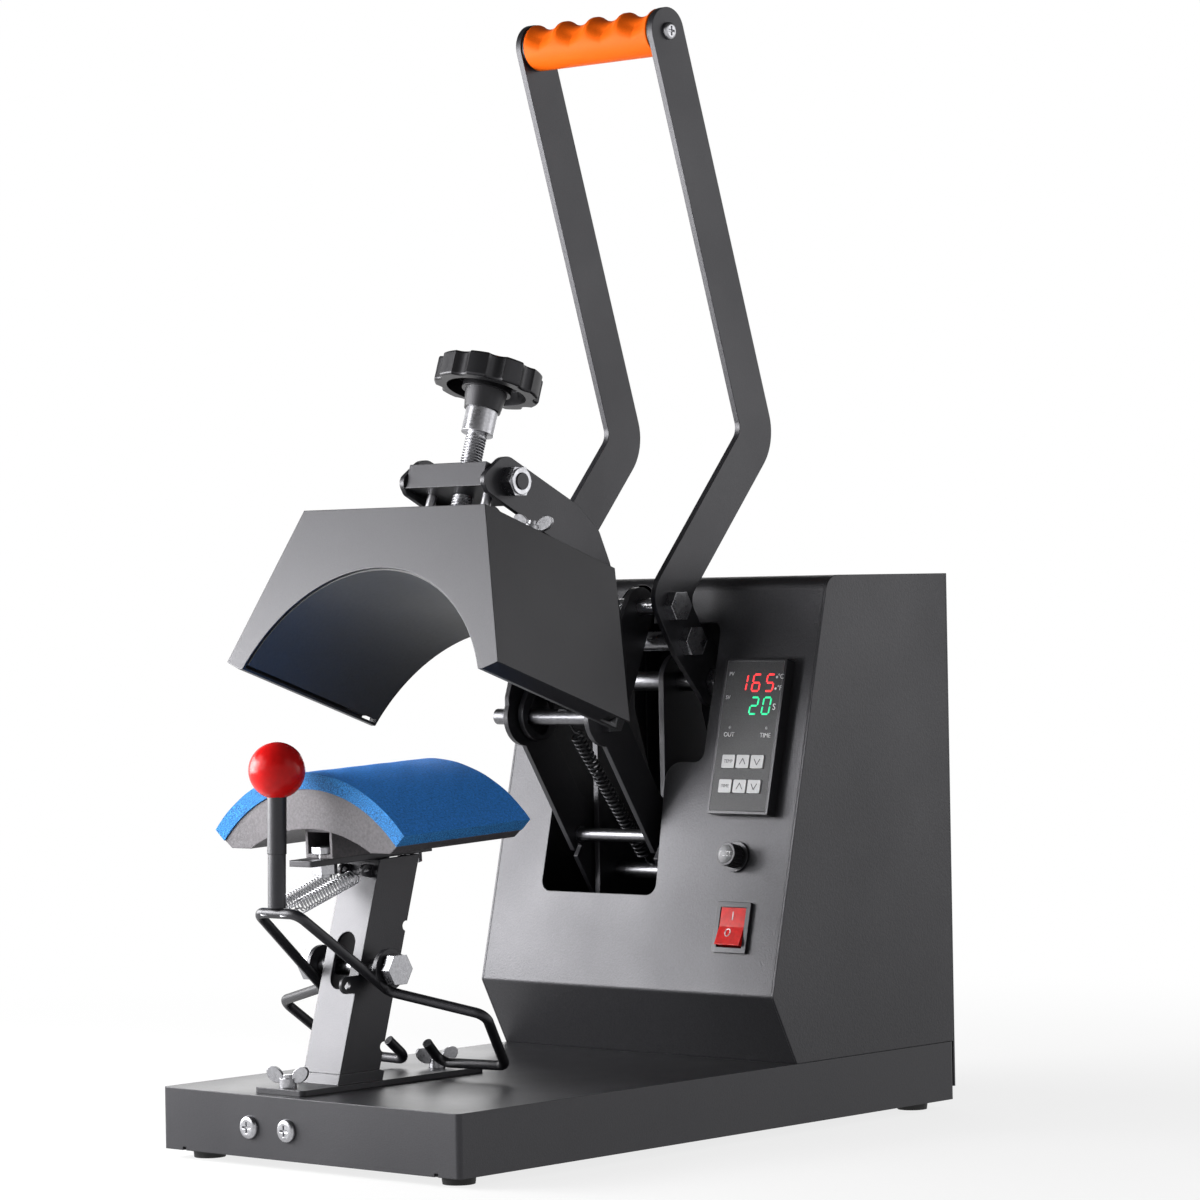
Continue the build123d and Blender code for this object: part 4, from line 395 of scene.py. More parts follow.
class PRESS_OT_pad(bpy.types.Operator):
    """Build the foam pad: a cut slab of foam bent over its body"""

    bl_idname = "press.pad"
    bl_label = "Foam pad"

    def execute(self, context):
        sizes = context.scene.press_sizes
        middle = sizes.pad_radius - sizes.pad_thick / 2
        half = sizes.pad_turn * middle
        bm = bmesh.new()
        columns, rows = 110, 72
        for level in (-0.5, 0.5):
            for i in range(columns + 1):
                across = half * (2 * i / columns - 1)
                for j in range(rows + 1):
                    bm.verts.new((across, sizes.pad_depth * (j / rows - 0.5), level * sizes.pad_thick))
        bm.verts.ensure_lookup_table()
        count = (columns + 1) * (rows + 1)

        def at(level, i, j):
            """Corner i, j of the lower or the upper face."""
            return bm.verts[level * count + i * (rows + 1) + j]

        for i in range(columns):
            for j in range(rows):
                bm.faces.new((at(0, i, j), at(0, i, j + 1), at(0, i + 1, j + 1), at(0, i + 1, j)))
                bm.faces.new((at(1, i, j), at(1, i + 1, j), at(1, i + 1, j + 1), at(1, i, j + 1)))
        for i in range(columns):
            bm.faces.new((at(0, i, 0), at(0, i + 1, 0), at(1, i + 1, 0), at(1, i, 0)))
            bm.faces.new((at(0, i + 1, rows), at(0, i, rows), at(1, i, rows), at(1, i + 1, rows)))
        for j in range(rows):
            bm.faces.new((at(0, 0, j + 1), at(0, 0, j), at(1, 0, j), at(1, 0, j + 1)))
            bm.faces.new((at(0, columns, j), at(0, columns, j + 1), at(1, columns, j + 1), at(1, columns, j)))
        sharp = [e for e in bm.edges if e.calc_face_angle(0) > 1.0]
        bmesh.ops.bevel(bm, geom=sharp, offset=0.45, segments=2, affect="EDGES", profile=0.6)
        for vert in bm.verts:
            x, y, z = vert.co
            wave = 0.10 * math.sin(x * 0.11 + 1.3) * math.sin(y * 0.13 + 0.4)
            sag = wave + 0.06 * math.sin(x * 0.31 + y * 0.27)
            radius = middle + z + (sag - 0.12 if z > 0 else 0.02)
            turn = x / middle
            vert.co = (radius * math.sin(turn), y, PAD_CENTRE_Z + radius * math.cos(turn))
        colours = context.scene.press_colours
        skin = finish(
            "blue foam skin", tuple(colours.foam), 0.34, (0.66, 0.80), 0.0, 900, 0.40, broad=30.0,
            Specular_IOR_Level=0.3,
        )
        cut = finish(
            "cut blue foam", tuple(colours.cut_foam), 0.85, (0.78, 0.90), 0.0, 1600, 1.0, broad=30.0,
            Specular_IOR_Level=0.3,
        )
        mesh = mesh_from(bm, "foam_pad", PAD)
        piece = new_piece("foam_pad", mesh, skin, "base", ("pad",))
        mesh.materials.append(cut)
        # The two ends and the two sides show cut foam; the rest is skin.
        upward = (PAD.to_3x3() @ Vector((0, 0, 1))).normalized()
        along_pad = (PAD.to_3x3() @ Vector((0, 1, 0))).normalized()
        edge_lean = math.sin(sizes.pad_turn)
        for face in mesh.polygons:
            on_end = abs(face.normal.dot(along_pad)) > 0.75
            leaning = abs(face.normal.x) > 0.5 * edge_lean
            on_side = leaning and face.normal.dot(upward) < math.cos(sizes.pad_turn) - 0.12
            face.material_index = 1 if on_end or on_side else 0
        mesh.set_sharp_from_angle(angle=math.radians(38))
        return {"FINISHED"}


# ---------------------------------------------------------------- coils and threads
def coil_tree():
    """Geometry Nodes tree: a wire that winds round z, as a closed tube."""
    tree = bpy.data.node_groups.new("wound wire", "GeometryNodeTree")
    face = tree.interface
    face.new_socket("Geometry", in_out="OUTPUT", socket_type="NodeSocketGeometry")
    for label, kind in (
        ("Turns", "NodeSocketFloat"), ("Start Radius", "NodeSocketFloat"), ("End Radius", "NodeSocketFloat"),
        ("Length", "NodeSocketFloat"), ("Wire Radius", "NodeSocketFloat"), ("Steps", "NodeSocketInt"),
        ("Sides", "NodeSocketInt"), ("Finish", "NodeSocketMaterial"),
    ):
        face.new_socket(label, in_out="INPUT", socket_type=kind)
    entry = tree.nodes.new("NodeGroupInput")
    leave = tree.nodes.new("NodeGroupOutput")
    spiral = tree.nodes.new("GeometryNodeCurveSpiral")
    ring = tree.nodes.new("GeometryNodeCurvePrimitiveCircle")
    skin = tree.nodes.new("GeometryNodeCurveToMesh")
    real = tree.nodes.new("GeometryNodeRealizeInstances")
    paint = tree.nodes.new("GeometryNodeSetMaterial")
    join = tree.links.new
    join(entry.outputs["Turns"], spiral.inputs["Rotations"])
    join(entry.outputs["Start Radius"], spiral.inputs["Start Radius"])
    join(entry.outputs["End Radius"], spiral.inputs["End Radius"])
    join(entry.outputs["Length"], spiral.inputs["Height"])
    join(entry.outputs["Steps"], spiral.inputs["Resolution"])
    join(entry.outputs["Wire Radius"], ring.inputs["Radius"])
    join(entry.outputs["Sides"], ring.inputs["Resolution"])
    join(spiral.outputs["Curve"], skin.inputs["Curve"])
    join(ring.outputs["Curve"], skin.inputs["Profile Curve"])
    skin.inputs["Fill Caps"].default_value = True
    join(skin.outputs["Mesh"], real.inputs["Geometry"])
    join(real.outputs["Geometry"], paint.inputs["Geometry"])
    join(entry.outputs["Finish"], paint.inputs["Material"])
    join(paint.outputs["Geometry"], leave.inputs["Geometry"])
    return tree


def grown(tree, values):
    """Evaluate a Geometry Nodes tree with these inputs and return its mesh."""
    seed = bpy.data.objects.new("seed", bpy.data.meshes.new("seed"))
    bpy.context.scene.collection.objects.link(seed)
    modifier = seed.modifiers.new("grow", "NODES")
    modifier.node_group = tree
    for item in tree.interface.items_tree:
        if item.item_type == "SOCKET" and item.in_out == "INPUT" and item.name in values:
            modifier[item.identifier] = values[item.name]
    graph = bpy.context.evaluated_depsgraph_get()
    mesh = bpy.data.meshes.new_from_object(seed.evaluated_get(graph), depsgraph=graph)
    bpy.data.objects.remove(seed)
    return mesh


def tube(bm, points, radius, sides=12):
    """Add a bent wire to a bmesh, along points in its own millimetres."""
    points = [Vector(p) for p in points]
    rings = []
    normal = (points[1] - points[0]).orthogonal().normalized()
    for i, point in enumerate(points):
        ahead = points[min(i + 1, len(points) - 1)] - points[max(i - 1, 0)]
        ahead.normalize()
        normal = (normal - ahead * normal.dot(ahead)).normalized()
        other = ahead.cross(normal)
        turns = [2 * math.pi * k / sides for k in range(sides)]
        reaches = [(normal * math.cos(t) + other * math.sin(t)) * radius for t in turns]
        rings.append([bm.verts.new(point + reach) for reach in reaches])
    for a, b in zip(rings, rings[1:]):
        for k in range(sides):
            bm.faces.new((a[k], a[(k + 1) % sides], b[(k + 1) % sides], b[k]))
    bm.faces.new(rings[0][::-1])
    bm.faces.new(rings[-1])


def hook(length, coil, loop):
    """Points of a spring's end hook, from its last coil out to its eye and round it."""
    points = [(coil, 0, 0), (coil * 0.7, 0, 0.9), (0, 0, 2.0), (0, 0, length - loop)]
    for k in range(1, 15):
        turn = math.radians(-90 + 20 * k)
        points.append((loop * math.cos(turn), 0, length + loop * math.sin(turn)))
    return points


def spring_mesh(name, tree, material, span, end, hooks, turns, wire, coil):
    """One extension spring along z: coils with a hook at each end."""
    coil_length = span - 2 * end
    mesh = grown(
        tree,
        {
            "Turns": float(turns), "Start Radius": coil, "End Radius": coil, "Length": coil_length,
            "Wire Radius": wire, "Steps": 20, "Sides": 8, "Finish": material,
        },
    )
    bm = bmesh.new()
    bm.from_mesh(mesh)
    bmesh.ops.translate(bm, verts=bm.verts, vec=(0, 0, end))
    for loop, top in zip(hooks, (False, True)):
        part = bmesh.new()
        tube(part, hook(end, coil, loop), wire)
        if top:
            part.transform(Matrix.Translation((0, 0, span - end)))
        else:
            part.transform(Matrix.Translation((0, 0, end)) @ Matrix.Rotation(math.pi, 4, "X"))
        piece = bpy.data.meshes.new("hook")
        part.to_mesh(piece)
        part.free()
        bm.from_mesh(piece)
    done = bpy.data.meshes.new(name)
    bm.to_mesh(done)
    bm.free()
    return done


class PRESS_OT_thread(bpy.types.Operator):
    """Wind the thread of the pressure screw"""

    bl_idname = "press.thread"
    bl_label = "Screw thread"

    def execute(self, context):
        sizes = context.scene.press_sizes
        steel = bpy.data.materials["zinc plated steel"]
        length = SCREW_THREAD_Z[1] - SCREW_THREAD_Z[0] - 2 * THREAD_END
        crest = sizes.thread_pitch * THREAD_WIRE_SHARE
        mesh = grown(
            coil_tree(),
            {
                "Turns": length / sizes.thread_pitch, "Start Radius": sizes.thread_radius, "Length": length,
                "End Radius": sizes.thread_radius, "Wire Radius": crest, "Steps": 32, "Sides": 6,
                "Finish": steel,
            },
        )
        place = HEAD @ Matrix.Translation((0, SCREW_Y, SCREW_THREAD_Z[0] + THREAD_END))
        new_piece("screw_thread", joined("screw_thread", [(mesh, place)]), steel, "screw")
        return {"FINISHED"}


def joined(name, parts):
    """One mesh from (mesh, matrix) pairs."""
    bm = bmesh.new()
    for mesh, matrix in parts:
        copy = mesh.copy()
        copy.transform(matrix)
        bm.from_mesh(copy)
    return mesh_from(bm, name)


class PRESS_OT_springs(bpy.types.Operator):
    """Wind the two springs of the cap holder and the head's return spring"""

    bl_idname = "press.springs"
    bl_label = "Springs"

    def execute(self, context):
        sizes = context.scene.press_sizes
        tree = coil_tree()
        steel = bpy.data.materials["zinc plated steel"]
        start = Vector((0, *HOLDER_SPRING_LOW))
        finish_at = Vector((0, *HOLDER_SPRING_HIGH))
        span = (finish_at - start).length
        small = spring_mesh(
            "small spring", tree, steel, span, end=10.0, hooks=(3.7, 2.2), turns=20, wire=sizes.wire,
            coil=sizes.coil,
        )
        parts = []
        for side in (-1, 1):
            low = Vector((MID_X + side * HOLDER_SPRING_SIDE[0], start.y, start.z))
            high = Vector((MID_X + side * HOLDER_SPRING_SIDE[1], finish_at.y, finish_at.z))
            parts.append((small, along(low, high)))
        pair = new_piece(
            "holder_springs", joined("holder_springs", parts), steel, None, ("bail_springs",)
        )
        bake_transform(pair)
        dark = finish("oiled spring wire", (0.030, 0.030, 0.033), 0.25, (0.28, 0.4), 0.7, 800, 0.05)
        low = Vector((MID_X + 1.0, *SPRING_ANCHOR))
        high = Vector((MID_X + 1.0, *HEAD_PIN))
        long = spring_mesh(
            "long spring", tree, dark, (high - low).length, end=14.0, hooks=(5.9, 5.9), turns=30, wire=0.85,
            coil=3.6,
        )
        new_piece(
            "return_coil", joined("return_coil", [(long, along(low, high))]), dark, "return_spring",
            ("return_spring",),
        )
        return {"FINISHED"}


# ---------------------------------------------------------------- grip
def smooth(low, high, value):
    """0 below low, 1 above high, eased between."""
    share = min(1.0, max(0.0, (value - low) / (high - low)))
    return share * share * (3 - 2 * share)


class PRESS_OT_grip(bpy.types.Operator):
    """Mould the grip: a round bar with finger hollows over its top, parted by narrow ridges"""

    bl_idname = "press.grip"
    bl_label = "Grip"

    def execute(self, context):
        sizes = context.scene.press_sizes
        half, radius = sizes.grip_half, sizes.grip_radius
        pitch = 2 * half / sizes.scoops
        along_steps, around = 280, 120
        # Degrees off the top over which a hollow fades out, and how much sooner it does so at a ridge.
        fade_start, fade_end, ridge_lead = 66, 112, 16
        bm = bmesh.new()
        rings = []
        for i in range(along_steps + 1):
            x = half * (2 * i / along_steps - 1)
            to_end = half - abs(x)
            into_round = max(0.0, GRIP_END_ROUND - to_end)
            end_round = GRIP_END_ROUND - math.sqrt(max(0.0, GRIP_END_ROUND ** 2 - into_round ** 2))
            from_ridge = abs((x + half + pitch / 2) % pitch - pitch / 2)
            across = max(0.0, from_ridge - sizes.ridge_half) / (pitch / 2 - sizes.ridge_half)
            ring = []
            for k in range(around):
                turn = 2 * math.pi * k / around
                off_top = math.degrees(min(turn, 2 * math.pi - turn))
                fade = 1 - smooth(fade_start, fade_end, off_top + ridge_lead * (1 - across))
                hollow = sizes.scoop_depth * fade * (1 - (1 - across) ** 2)
                reach = radius - hollow - end_round
                ring.append(bm.verts.new((x, -reach * math.sin(turn), reach * math.cos(turn))))
            rings.append(ring)
        for a, b in zip(rings, rings[1:]):
            for k in range(around):
                bm.faces.new((a[k], a[(k + 1) % around], b[(k + 1) % around], b[k]))
        bm.faces.new(rings[0])
        bm.faces.new(rings[-1][::-1])
        place = placing(GRIP_AT, (1, 0, 0), (0, 0, 1))
        moulded = finish(
            "orange moulded grip", tuple(context.scene.press_colours.grip), 0.10, (0.50, 0.60), 0.0, 1300,
            0.12, Specular_IOR_Level=0.10,
        )
        mesh = mesh_from(bm, "moulded_grip", place)
        new_piece("moulded_grip", mesh, moulded, "lever", ("grip",))
        return {"FINISHED"}


# ---------------------------------------------------------------- printing and lamps on the controls
# Middles on the panel, in its own millimetres: the controller's face, the columns of its keys, the fuse cap.
FACE_MIDDLE = (79.1, 156.6)
KEY_COLUMNS = (67.8, 79.1, 90.4)
FUSE_MIDDLE = (77.5, 83.6)

# Prints are dropped onto their surface from this many millimetres off the panel, over this many metres.
PRINT_FROM = 60.0
PRINT_REACH = 0.1


def surface_of(*names):
    """Search tree over the surfaces of CAD nodes, in the scene's metres."""
    bm = bmesh.new()
    for name in names:
        mesh = NODES[name].data.copy()
        mesh.transform(NODES[name].matrix_world)
        bm.from_mesh(mesh)
        bpy.data.meshes.remove(mesh)
    tree = BVHTree.FromBMesh(bm)
    bm.free()
    return tree


def lettering(text, size):
    """Thin raised lettering about its own middle, in millimetres."""
    curve = bpy.data.curves.new("lettering", "FONT")
    curve.body = text
    curve.size = size
    curve.align_x = "CENTER"
    curve.align_y = "CENTER"
    curve.resolution_u = 4
    curve.extrude = 0.03
    obj = bpy.data.objects.new("lettering", curve)
    bpy.context.scene.collection.objects.link(obj)
    graph = bpy.context.evaluated_depsgraph_get()
    mesh = bpy.data.meshes.new_from_object(obj.evaluated_get(graph), depsgraph=graph)
    bpy.data.objects.remove(obj)
    return mesh


def slab(outlines, thick=0.06):
    """Thin flat pieces from outlines of (x, y) points, about z = 0."""
    bm = bmesh.new()
    for outline in outlines:
        low = [bm.verts.new((x, y, -thick / 2)) for x, y in outline]
        high = [bm.verts.new((x, y, thick / 2)) for x, y in outline]
        bm.faces.new(low[::-1])
        bm.faces.new(high)
        for k in range(len(outline)):
            n = (k + 1) % len(outline)
            bm.faces.new((low[k], low[n], high[n], high[k]))
    bmesh.ops.recalc_face_normals(bm, faces=bm.faces)
    mesh = bpy.data.meshes.new("slab")
    bm.to_mesh(mesh)
    bm.free()
    return mesh


def disc(radius, sides=28):
    """Outline of a round spot."""
    turns = [2 * math.pi * k / sides for k in range(sides)]
    return [(radius * math.cos(turn), radius * math.sin(turn)) for turn in turns]


def bar(x0, y0, x1, y1, width):
    """Outline of a straight stroke between two points."""
    run = Vector((x1 - x0, y1 - y0)).normalized() * width / 2
    side = Vector((-run.y, run.x))
    start, end = Vector((x0, y0)) - run * 0.6, Vector((x1, y1)) + run * 0.6
    return [tuple(start + side), tuple(start - side), tuple(end - side), tuple(end + side)]


def border(half_w, half_h, width):
    """Four strokes that frame a rectangle."""
    return [
        bar(-half_w, half_h, half_w, half_h, width),
        bar(-half_w, -half_h, half_w, -half_h, width),
        bar(-half_w, -half_h, -half_w, half_h, width),
        bar(half_w, -half_h, half_w, half_h, width),
    ]


SEGMENTS = {"0": "abcdef", "1": "bc", "2": "abged", "5": "afgcd", "6": "afgedc"}


def digit(figure, width=5.6, height=10.2, stroke=1.15, slant=0.10):
    """Outlines of a seven-segment figure about its middle."""
    w, h, gap = width / 2, height / 2, 0.75
    runs = {
        "a": (-w + gap, h, w - gap, h), "g": (-w + gap, 0, w - gap, 0), "d": (-w + gap, -h, w - gap, -h),
        "f": (-w, gap, -w, h - gap), "b": (w, gap, w, h - gap),
        "e": (-w, -h + gap, -w, -gap), "c": (w, -h + gap, w, -gap),
    }
    outlines = []
    for name in SEGMENTS[figure]:
        x0, y0, x1, y1 = runs[name]
        run = Vector((x1 - x0, y1 - y0)).normalized() * stroke / 2
        side = Vector((-run.y, run.x))
        start, end = Vector((x0, y0)), Vector((x1, y1))
        corners = (start - run * 0.7, start + side, end + side, end + run * 0.7, end - side, start - side)
        outlines.append([(p.x + slant * p.y, p.y) for p in corners])
    return outlines


def laid(mesh, x, up, surface, lift=0.05):
    """Lay a thin mesh on a surface that faces the operator from the panel; returns a mesh in metres."""
    outward = (PANEL.to_3x3() @ Vector((0, 0, 1))).normalized()
    out = mesh.copy()
    for vert in out.vertices:
        spot = PANEL @ Vector((x + vert.co.x, up + vert.co.y, PRINT_FROM))
        hit = surface.ray_cast(spot, -outward, PRINT_REACH)[0]
        if hit is None:
            raise RuntimeError("nothing under a print at %.1f, %.1f" % (x, up))
        vert.co = hit + outward * (lift + vert.co.z) * MM
    return out


def print_finish(name, colour):
    """Matt ink."""
    return finish(name, colour, 0.06, (0.45, 0.6), 0.0, 1500, 0.02)


class PRESS_OT_controls(bpy.types.Operator):
    """Light the display and print the legends of the controller, its keys, the fuse cap and the rocker"""

    bl_idname = "press.controls"
    bl_label = "Controls"

    def execute(self, context):
        white = print_finish("white ink", (0.80, 0.80, 0.82))
        dark = print_finish("grey ink", (0.06, 0.06, 0.065))
        line = print_finish("pale line", (0.20, 0.20, 0.21))
        red = lamp_finish("red segments", (1.0, 0.045, 0.05), 1.5)
        green = lamp_finish("green segments", (0.03, 0.75, 0.33), 1.2)
        grey_lamp = print_finish("unlit lamp", (0.30, 0.30, 0.31))
        face = surface_of("controller_face", "controller_body")
        identity = Matrix.Identity(4)

        def on_face(name, parts, material):
            """Lay parts on the controller's face as one piece."""
            pieces = [(laid(mesh, x, up, face), identity) for mesh, x, up in parts]
            new_piece(name, joined(name, pieces), material, "base")

        top_row = (("1", 71.0), ("6", 81.3), ("5", 92.0))
        on_face("red_figures", [(slab(digit(f)), x, 189.5) for f, x in top_row], red)
        low_row = (("2", 81.6), ("0", 91.4))
        on_face("green_figures", [(slab(digit(f)), x, 175.3) for f, x in low_row], green)
        on_face(
            "face_legends",
            [
                (lettering("PV", 3.4), 60.9, 194.9), (lettering("SV", 3.4), 60.3, 180.3),
                (lettering("S", 5.6), 97.6, 174.5), (lettering("\u00b0C", 4.2), 99.9, 193.3),
                (lettering("\u00b0F", 4.2), 99.9, 186.2), (lettering("OUT", 4.0), 65.0, 157.3),
                (lettering("TIME", 4.0), 93.6, 157.0),
            ],
            white,
        )
        unlit = ((65.0, 161.8), (93.9, 161.6))
        on_face("unlit_lamps", [(slab([disc(1.0)]), x, up) for x, up in unlit], grey_lamp)
        units = ((96.9, 193.0), (96.9, 185.9))
        on_face("unit_lamps", [(slab([disc(0.8)]), x, up) for x, up in units], white)
        on_face("face_border", [(slab(border(22.2, 46.4, 0.35)), *FACE_MIDDLE)], line)
        for word, names, up in (("TEMP", BUTTONS[:3], 140.7), ("TIME", BUTTONS[3:], 125.5)):
            marks = (
                lettering(word, 2.9),
                slab([bar(-2.2, -1.6, 0, 1.9, 0.5), bar(0, 1.9, 2.2, -1.6, 0.5)]),
                slab([bar(-2.2, 1.6, 0, -1.9, 0.5), bar(0, -1.9, 2.2, 1.6, 0.5)]),
            )
            for key, x, mark in zip(names, KEY_COLUMNS, marks):
                cap = surface_of(key)
                new_piece(key + "_mark", joined(key, [(laid(mark, x, up, cap), identity)]), dark, key)
        cap = surface_of("fuse_cap")
        plate = print_finish("grey label", (0.24, 0.24, 0.25))
        label = laid(slab([disc(5.6, 40)]), *FUSE_MIDDLE, cap)
        new_piece("fuse_label", joined("fuse_label", [(label, identity)]), plate, "fuse_cap")
        word = laid(lettering("FUSE", 4.6), *FUSE_MIDDLE, cap, 0.16)
        new_piece("fuse_mark", joined("fuse_mark", [(word, identity)]), white, "fuse_cap")
        rocker = surface_of("rocker")
        ring = [
            [(2.2 * math.cos(a), 2.6 * math.sin(a)), (1.55 * math.cos(a), 1.95 * math.sin(a)),
             (1.55 * math.cos(b), 1.95 * math.sin(b)), (2.2 * math.cos(b), 2.6 * math.sin(b))]
            for a, b in ((2 * math.pi * k / 24, 2 * math.pi * (k + 1) / 24) for k in range(24))
        ]
        marks = [(laid(slab([bar(0, -2.3, 0, 2.3, 0.7)]), 81.6, 47.6, rocker), identity)]
        marks.append((laid(slab(ring), 79.9, 37.2, rocker), identity))
        new_piece("rocker_marks", joined("rocker_marks", marks), white, "rocker")
        return {"FINISHED"}


# ---------------------------------------------------------------- stage
# Strength of the sky as a light. Each lamp: its name, azimuth in degrees from the part's right, height and
# reach in metres, side of its square in metres, and watts.
SKY_LIGHT = 0.18
LAMPS = (
    ("low left", 203, 0.40, 1.1, 0.55, 9.5),
    ("low front left", 226, 0.40, 1.1, 0.55, 11.0),
    ("front left", 228, 0.78, 1.1, 0.55, 4.0),
    ("near front left", 226, 0.33, 0.62, 0.25, 1.7),
    ("front", 249, 0.60, 1.1, 0.60, 4.5),
    ("back left", 132, 0.60, 1.6, 0.90, 4.8),
    ("back right", 48, 0.60, 1.6, 0.90, 3.6),
    ("right", 5, 1.10, 1.6, 0.90, 1.8),
)

# The camera: its right, up and back axes, its place in metres from the middle of the base, and its lens and
# sensor in millimetres. The lamps point at AIM_HEIGHT and FLOOR_HALF is half the floor's side, in metres.
CAMERA_AXES = (
    Vector((0.74304148, 0.66899919, -0.01815041)),
    Vector((0.0124375, 0.01331214, 0.99983403)),
    Vector((0.66912978, -0.74314391, 0.0015708)),
)
CAMERA_AT = Vector((1.75072, -1.91083, 0.32524))
CAMERA_LENS = 128.58
CAMERA_SENSOR = 36.0
AIM_HEIGHT = 0.3
FLOOR_HALF = 14.0


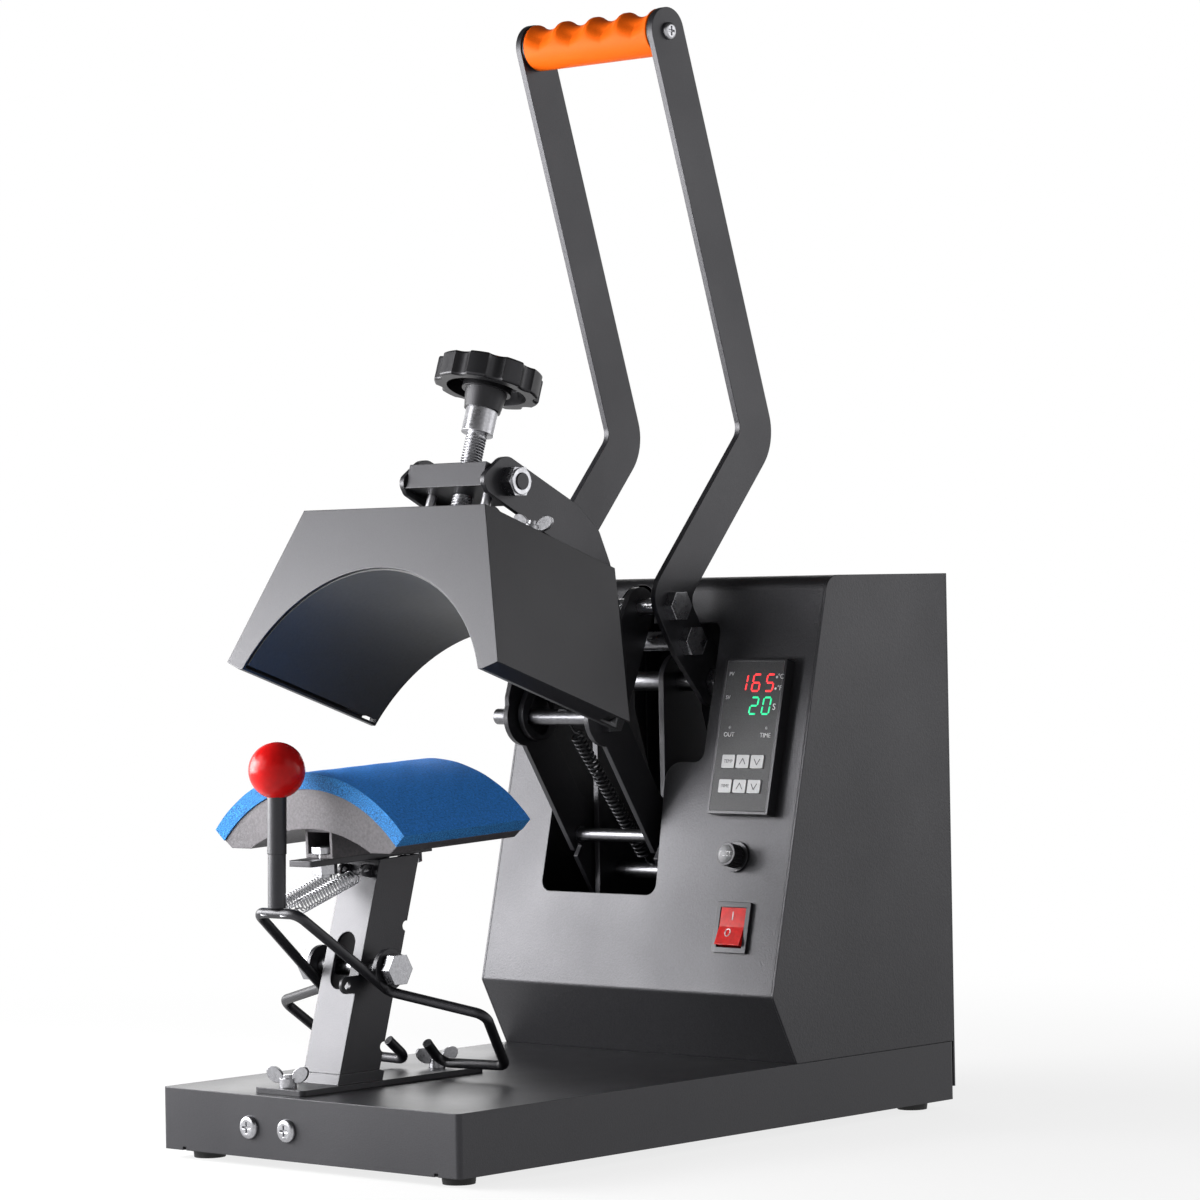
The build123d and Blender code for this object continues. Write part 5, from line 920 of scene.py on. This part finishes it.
class PRESS_OT_stage(bpy.types.Operator):
    """Pale floor, soft studio light and the camera"""

    bl_idname = "press.stage"
    bl_label = "Stage"

    def execute(self, context):
        scene = context.scene
        bm = bmesh.new()
        bmesh.ops.create_grid(bm, x_segments=1, y_segments=1, size=FLOOR_HALF)
        floor = bpy.data.objects.new("floor", mesh_from(bm, "floor", smooth=False))
        scene.collection.objects.link(floor)
        floor.data.materials.append(self.floor_paint())
        self.sky(scene)
        for name, azimuth, height, reach, side, power in LAMPS:
            lamp = bpy.data.lights.new(name, "AREA")
            lamp.shape = "SQUARE"
            lamp.size = side
            lamp.energy = power
            obj = bpy.data.objects.new(name, lamp)
            turn = math.radians(azimuth)
            obj.location = (reach * math.cos(turn), reach * math.sin(turn), height)
            aim = Vector((0, 0, AIM_HEIGHT)) - obj.location
            obj.rotation_euler = aim.to_track_quat("-Z", "Y").to_euler()
            obj.visible_camera = False
            scene.collection.objects.link(obj)
        lens = bpy.data.cameras.new("camera")
        lens.sensor_width = CAMERA_SENSOR
        lens.lens = CAMERA_LENS
        lens.clip_end = 60.0
        camera = bpy.data.objects.new("camera", lens)
        turn = Matrix(CAMERA_AXES).transposed().to_4x4()
        camera.matrix_world = Matrix.Translation(CAMERA_AT + BASE_MIDDLE * MM) @ turn
        scene.collection.objects.link(camera)
        scene.camera = camera
        scene.view_settings.view_transform = "Standard"
        return {"FINISHED"}

    def floor_paint(self):
        """White paint, paler with distance to the camera and to gloss, that still takes the shadow."""
        material = bpy.data.materials.new("floor white")
        material.use_nodes = True
        tree = material.node_tree
        tree.nodes.clear()
        out = node(tree, "ShaderNodeOutputMaterial")
        matt = node(tree, "ShaderNodeBsdfDiffuse")
        tone = ramp(tree, grain(tree, 3.0), [(0.3, (0.84, 0.84, 0.84)), (0.7, (0.87, 0.87, 0.87))])
        tree.links.new(tone, matt.inputs["Color"])
        glow = node(tree, "ShaderNodeEmission", Strength=1.0)
        glow.inputs["Color"].default_value = (1, 1, 1, 1)
        place = node(tree, "ShaderNodeTexCoord")
        far = node(tree, "ShaderNodeVectorMath", operation="LENGTH")
        tree.links.new(place.outputs["Object"], far.inputs[0])
        lift = node(tree, "ShaderNodeMapRange", interpolation_type="SMOOTHSTEP")
        lift.inputs["From Min"].default_value = 0.30
        lift.inputs["From Max"].default_value = 1.1
        lift.inputs["To Min"].default_value = 0.80
        lift.inputs["To Max"].default_value = 1.0
        tree.links.new(far.outputs["Value"], lift.inputs["Value"])
        share = node(tree, "ShaderNodeMath", operation="MULTIPLY")
        tree.links.new(self.seen_directly(tree), share.inputs[0])
        tree.links.new(lift.outputs["Result"], share.inputs[1])
        blend = node(tree, "ShaderNodeMixShader")
        tree.links.new(share.outputs[0], blend.inputs["Fac"])
        tree.links.new(matt.outputs[0], blend.inputs[1])
        tree.links.new(glow.outputs[0], blend.inputs[2])
        tree.links.new(blend.outputs[0], out.inputs["Surface"])
        return material

    def seen_directly(self, tree):
        """1 for rays of the camera and of gloss or glass, 0 for the rest."""
        path = node(tree, "ShaderNodeLightPath")
        first = node(tree, "ShaderNodeMath", operation="MAXIMUM")
        tree.links.new(path.outputs["Is Camera Ray"], first.inputs[0])
        tree.links.new(path.outputs["Is Glossy Ray"], first.inputs[1])
        both = node(tree, "ShaderNodeMath", operation="MAXIMUM")
        tree.links.new(first.outputs[0], both.inputs[0])
        tree.links.new(path.outputs["Is Transmission Ray"], both.inputs[1])
        return both.outputs[0]

    def sky(self, scene):
        """Surroundings: white to the camera, a white horizon and dark top to gloss, dim as light."""
        world = bpy.data.worlds.new("studio")
        scene.world = world
        world.use_nodes = True
        tree = world.node_tree
        tree.nodes.clear()
        out = node(tree, "ShaderNodeOutputWorld")
        seen = node(tree, "ShaderNodeBackground", Strength=1.0)
        felt = node(tree, "ShaderNodeBackground", Strength=SKY_LIGHT)
        felt.inputs["Color"].default_value = (1, 1, 1, 1)
        place = node(tree, "ShaderNodeTexCoord")
        parts = node(tree, "ShaderNodeSeparateXYZ")
        tree.links.new(place.outputs["Generated"], parts.inputs[0])
        fall = node(tree, "ShaderNodeMapRange", interpolation_type="SMOOTHSTEP")
        fall.inputs["From Min"].default_value = 0.20
        fall.inputs["From Max"].default_value = 0.55
        fall.inputs["To Min"].default_value = 1.0
        fall.inputs["To Max"].default_value = 0.06
        tree.links.new(parts.outputs["Z"], fall.inputs["Value"])
        path = node(tree, "ShaderNodeLightPath")
        level = node(tree, "ShaderNodeMath", operation="MAXIMUM")
        tree.links.new(path.outputs["Is Camera Ray"], level.inputs[0])
        tree.links.new(fall.outputs["Result"], level.inputs[1])
        tree.links.new(level.outputs[0], seen.inputs["Color"])
        blend = node(tree, "ShaderNodeMixShader")
        tree.links.new(self.seen_directly(tree), blend.inputs["Fac"])
        tree.links.new(felt.outputs[0], blend.inputs[1])
        tree.links.new(seen.outputs[0], blend.inputs[2])
        tree.links.new(blend.outputs[0], out.inputs["Surface"])


PIECE_STEPS = ("finishes", "pad", "springs", "thread", "grip", "controls", "stage")


class PRESS_PT_panel(bpy.types.Panel):
    """Lists the press's pieces, sizes and colours"""

    bl_label = "Cap Heat Press"
    bl_idname = "PRESS_PT_panel"
    bl_space_type = "VIEW_3D"
    bl_region_type = "UI"
    bl_category = "Cap Press"

    def draw(self, context):
        layout = self.layout
        for step in PIECE_STEPS:
            layout.operator("press." + step)
        for group in (context.scene.press_sizes, context.scene.press_colours):
            box = layout.box()
            for key in group.__annotations__:
                box.prop(group, key)


CLASSES = (
    PressColours,
    PressSizes,
    PRESS_OT_finishes,
    PRESS_OT_pad,
    PRESS_OT_springs,
    PRESS_OT_thread,
    PRESS_OT_grip,
    PRESS_OT_controls,
    PRESS_OT_stage,
    PRESS_PT_panel,
)


def register():
    """Register the classes and put both property groups on the scene."""
    for cls in CLASSES:
        bpy.utils.register_class(cls)
    bpy.types.Scene.press_colours = bpy.props.PointerProperty(type=PressColours)
    bpy.types.Scene.press_sizes = bpy.props.PointerProperty(type=PressSizes)


def unregister():
    """Take the property groups and the classes away again."""
    del bpy.types.Scene.press_sizes
    del bpy.types.Scene.press_colours
    for cls in reversed(CLASSES):
        bpy.utils.unregister_class(cls)


def main():
    """Make every piece."""
    register()
    for step in PIECE_STEPS:
        getattr(bpy.ops.press, step)()


if __name__ == "__main__":
    main()
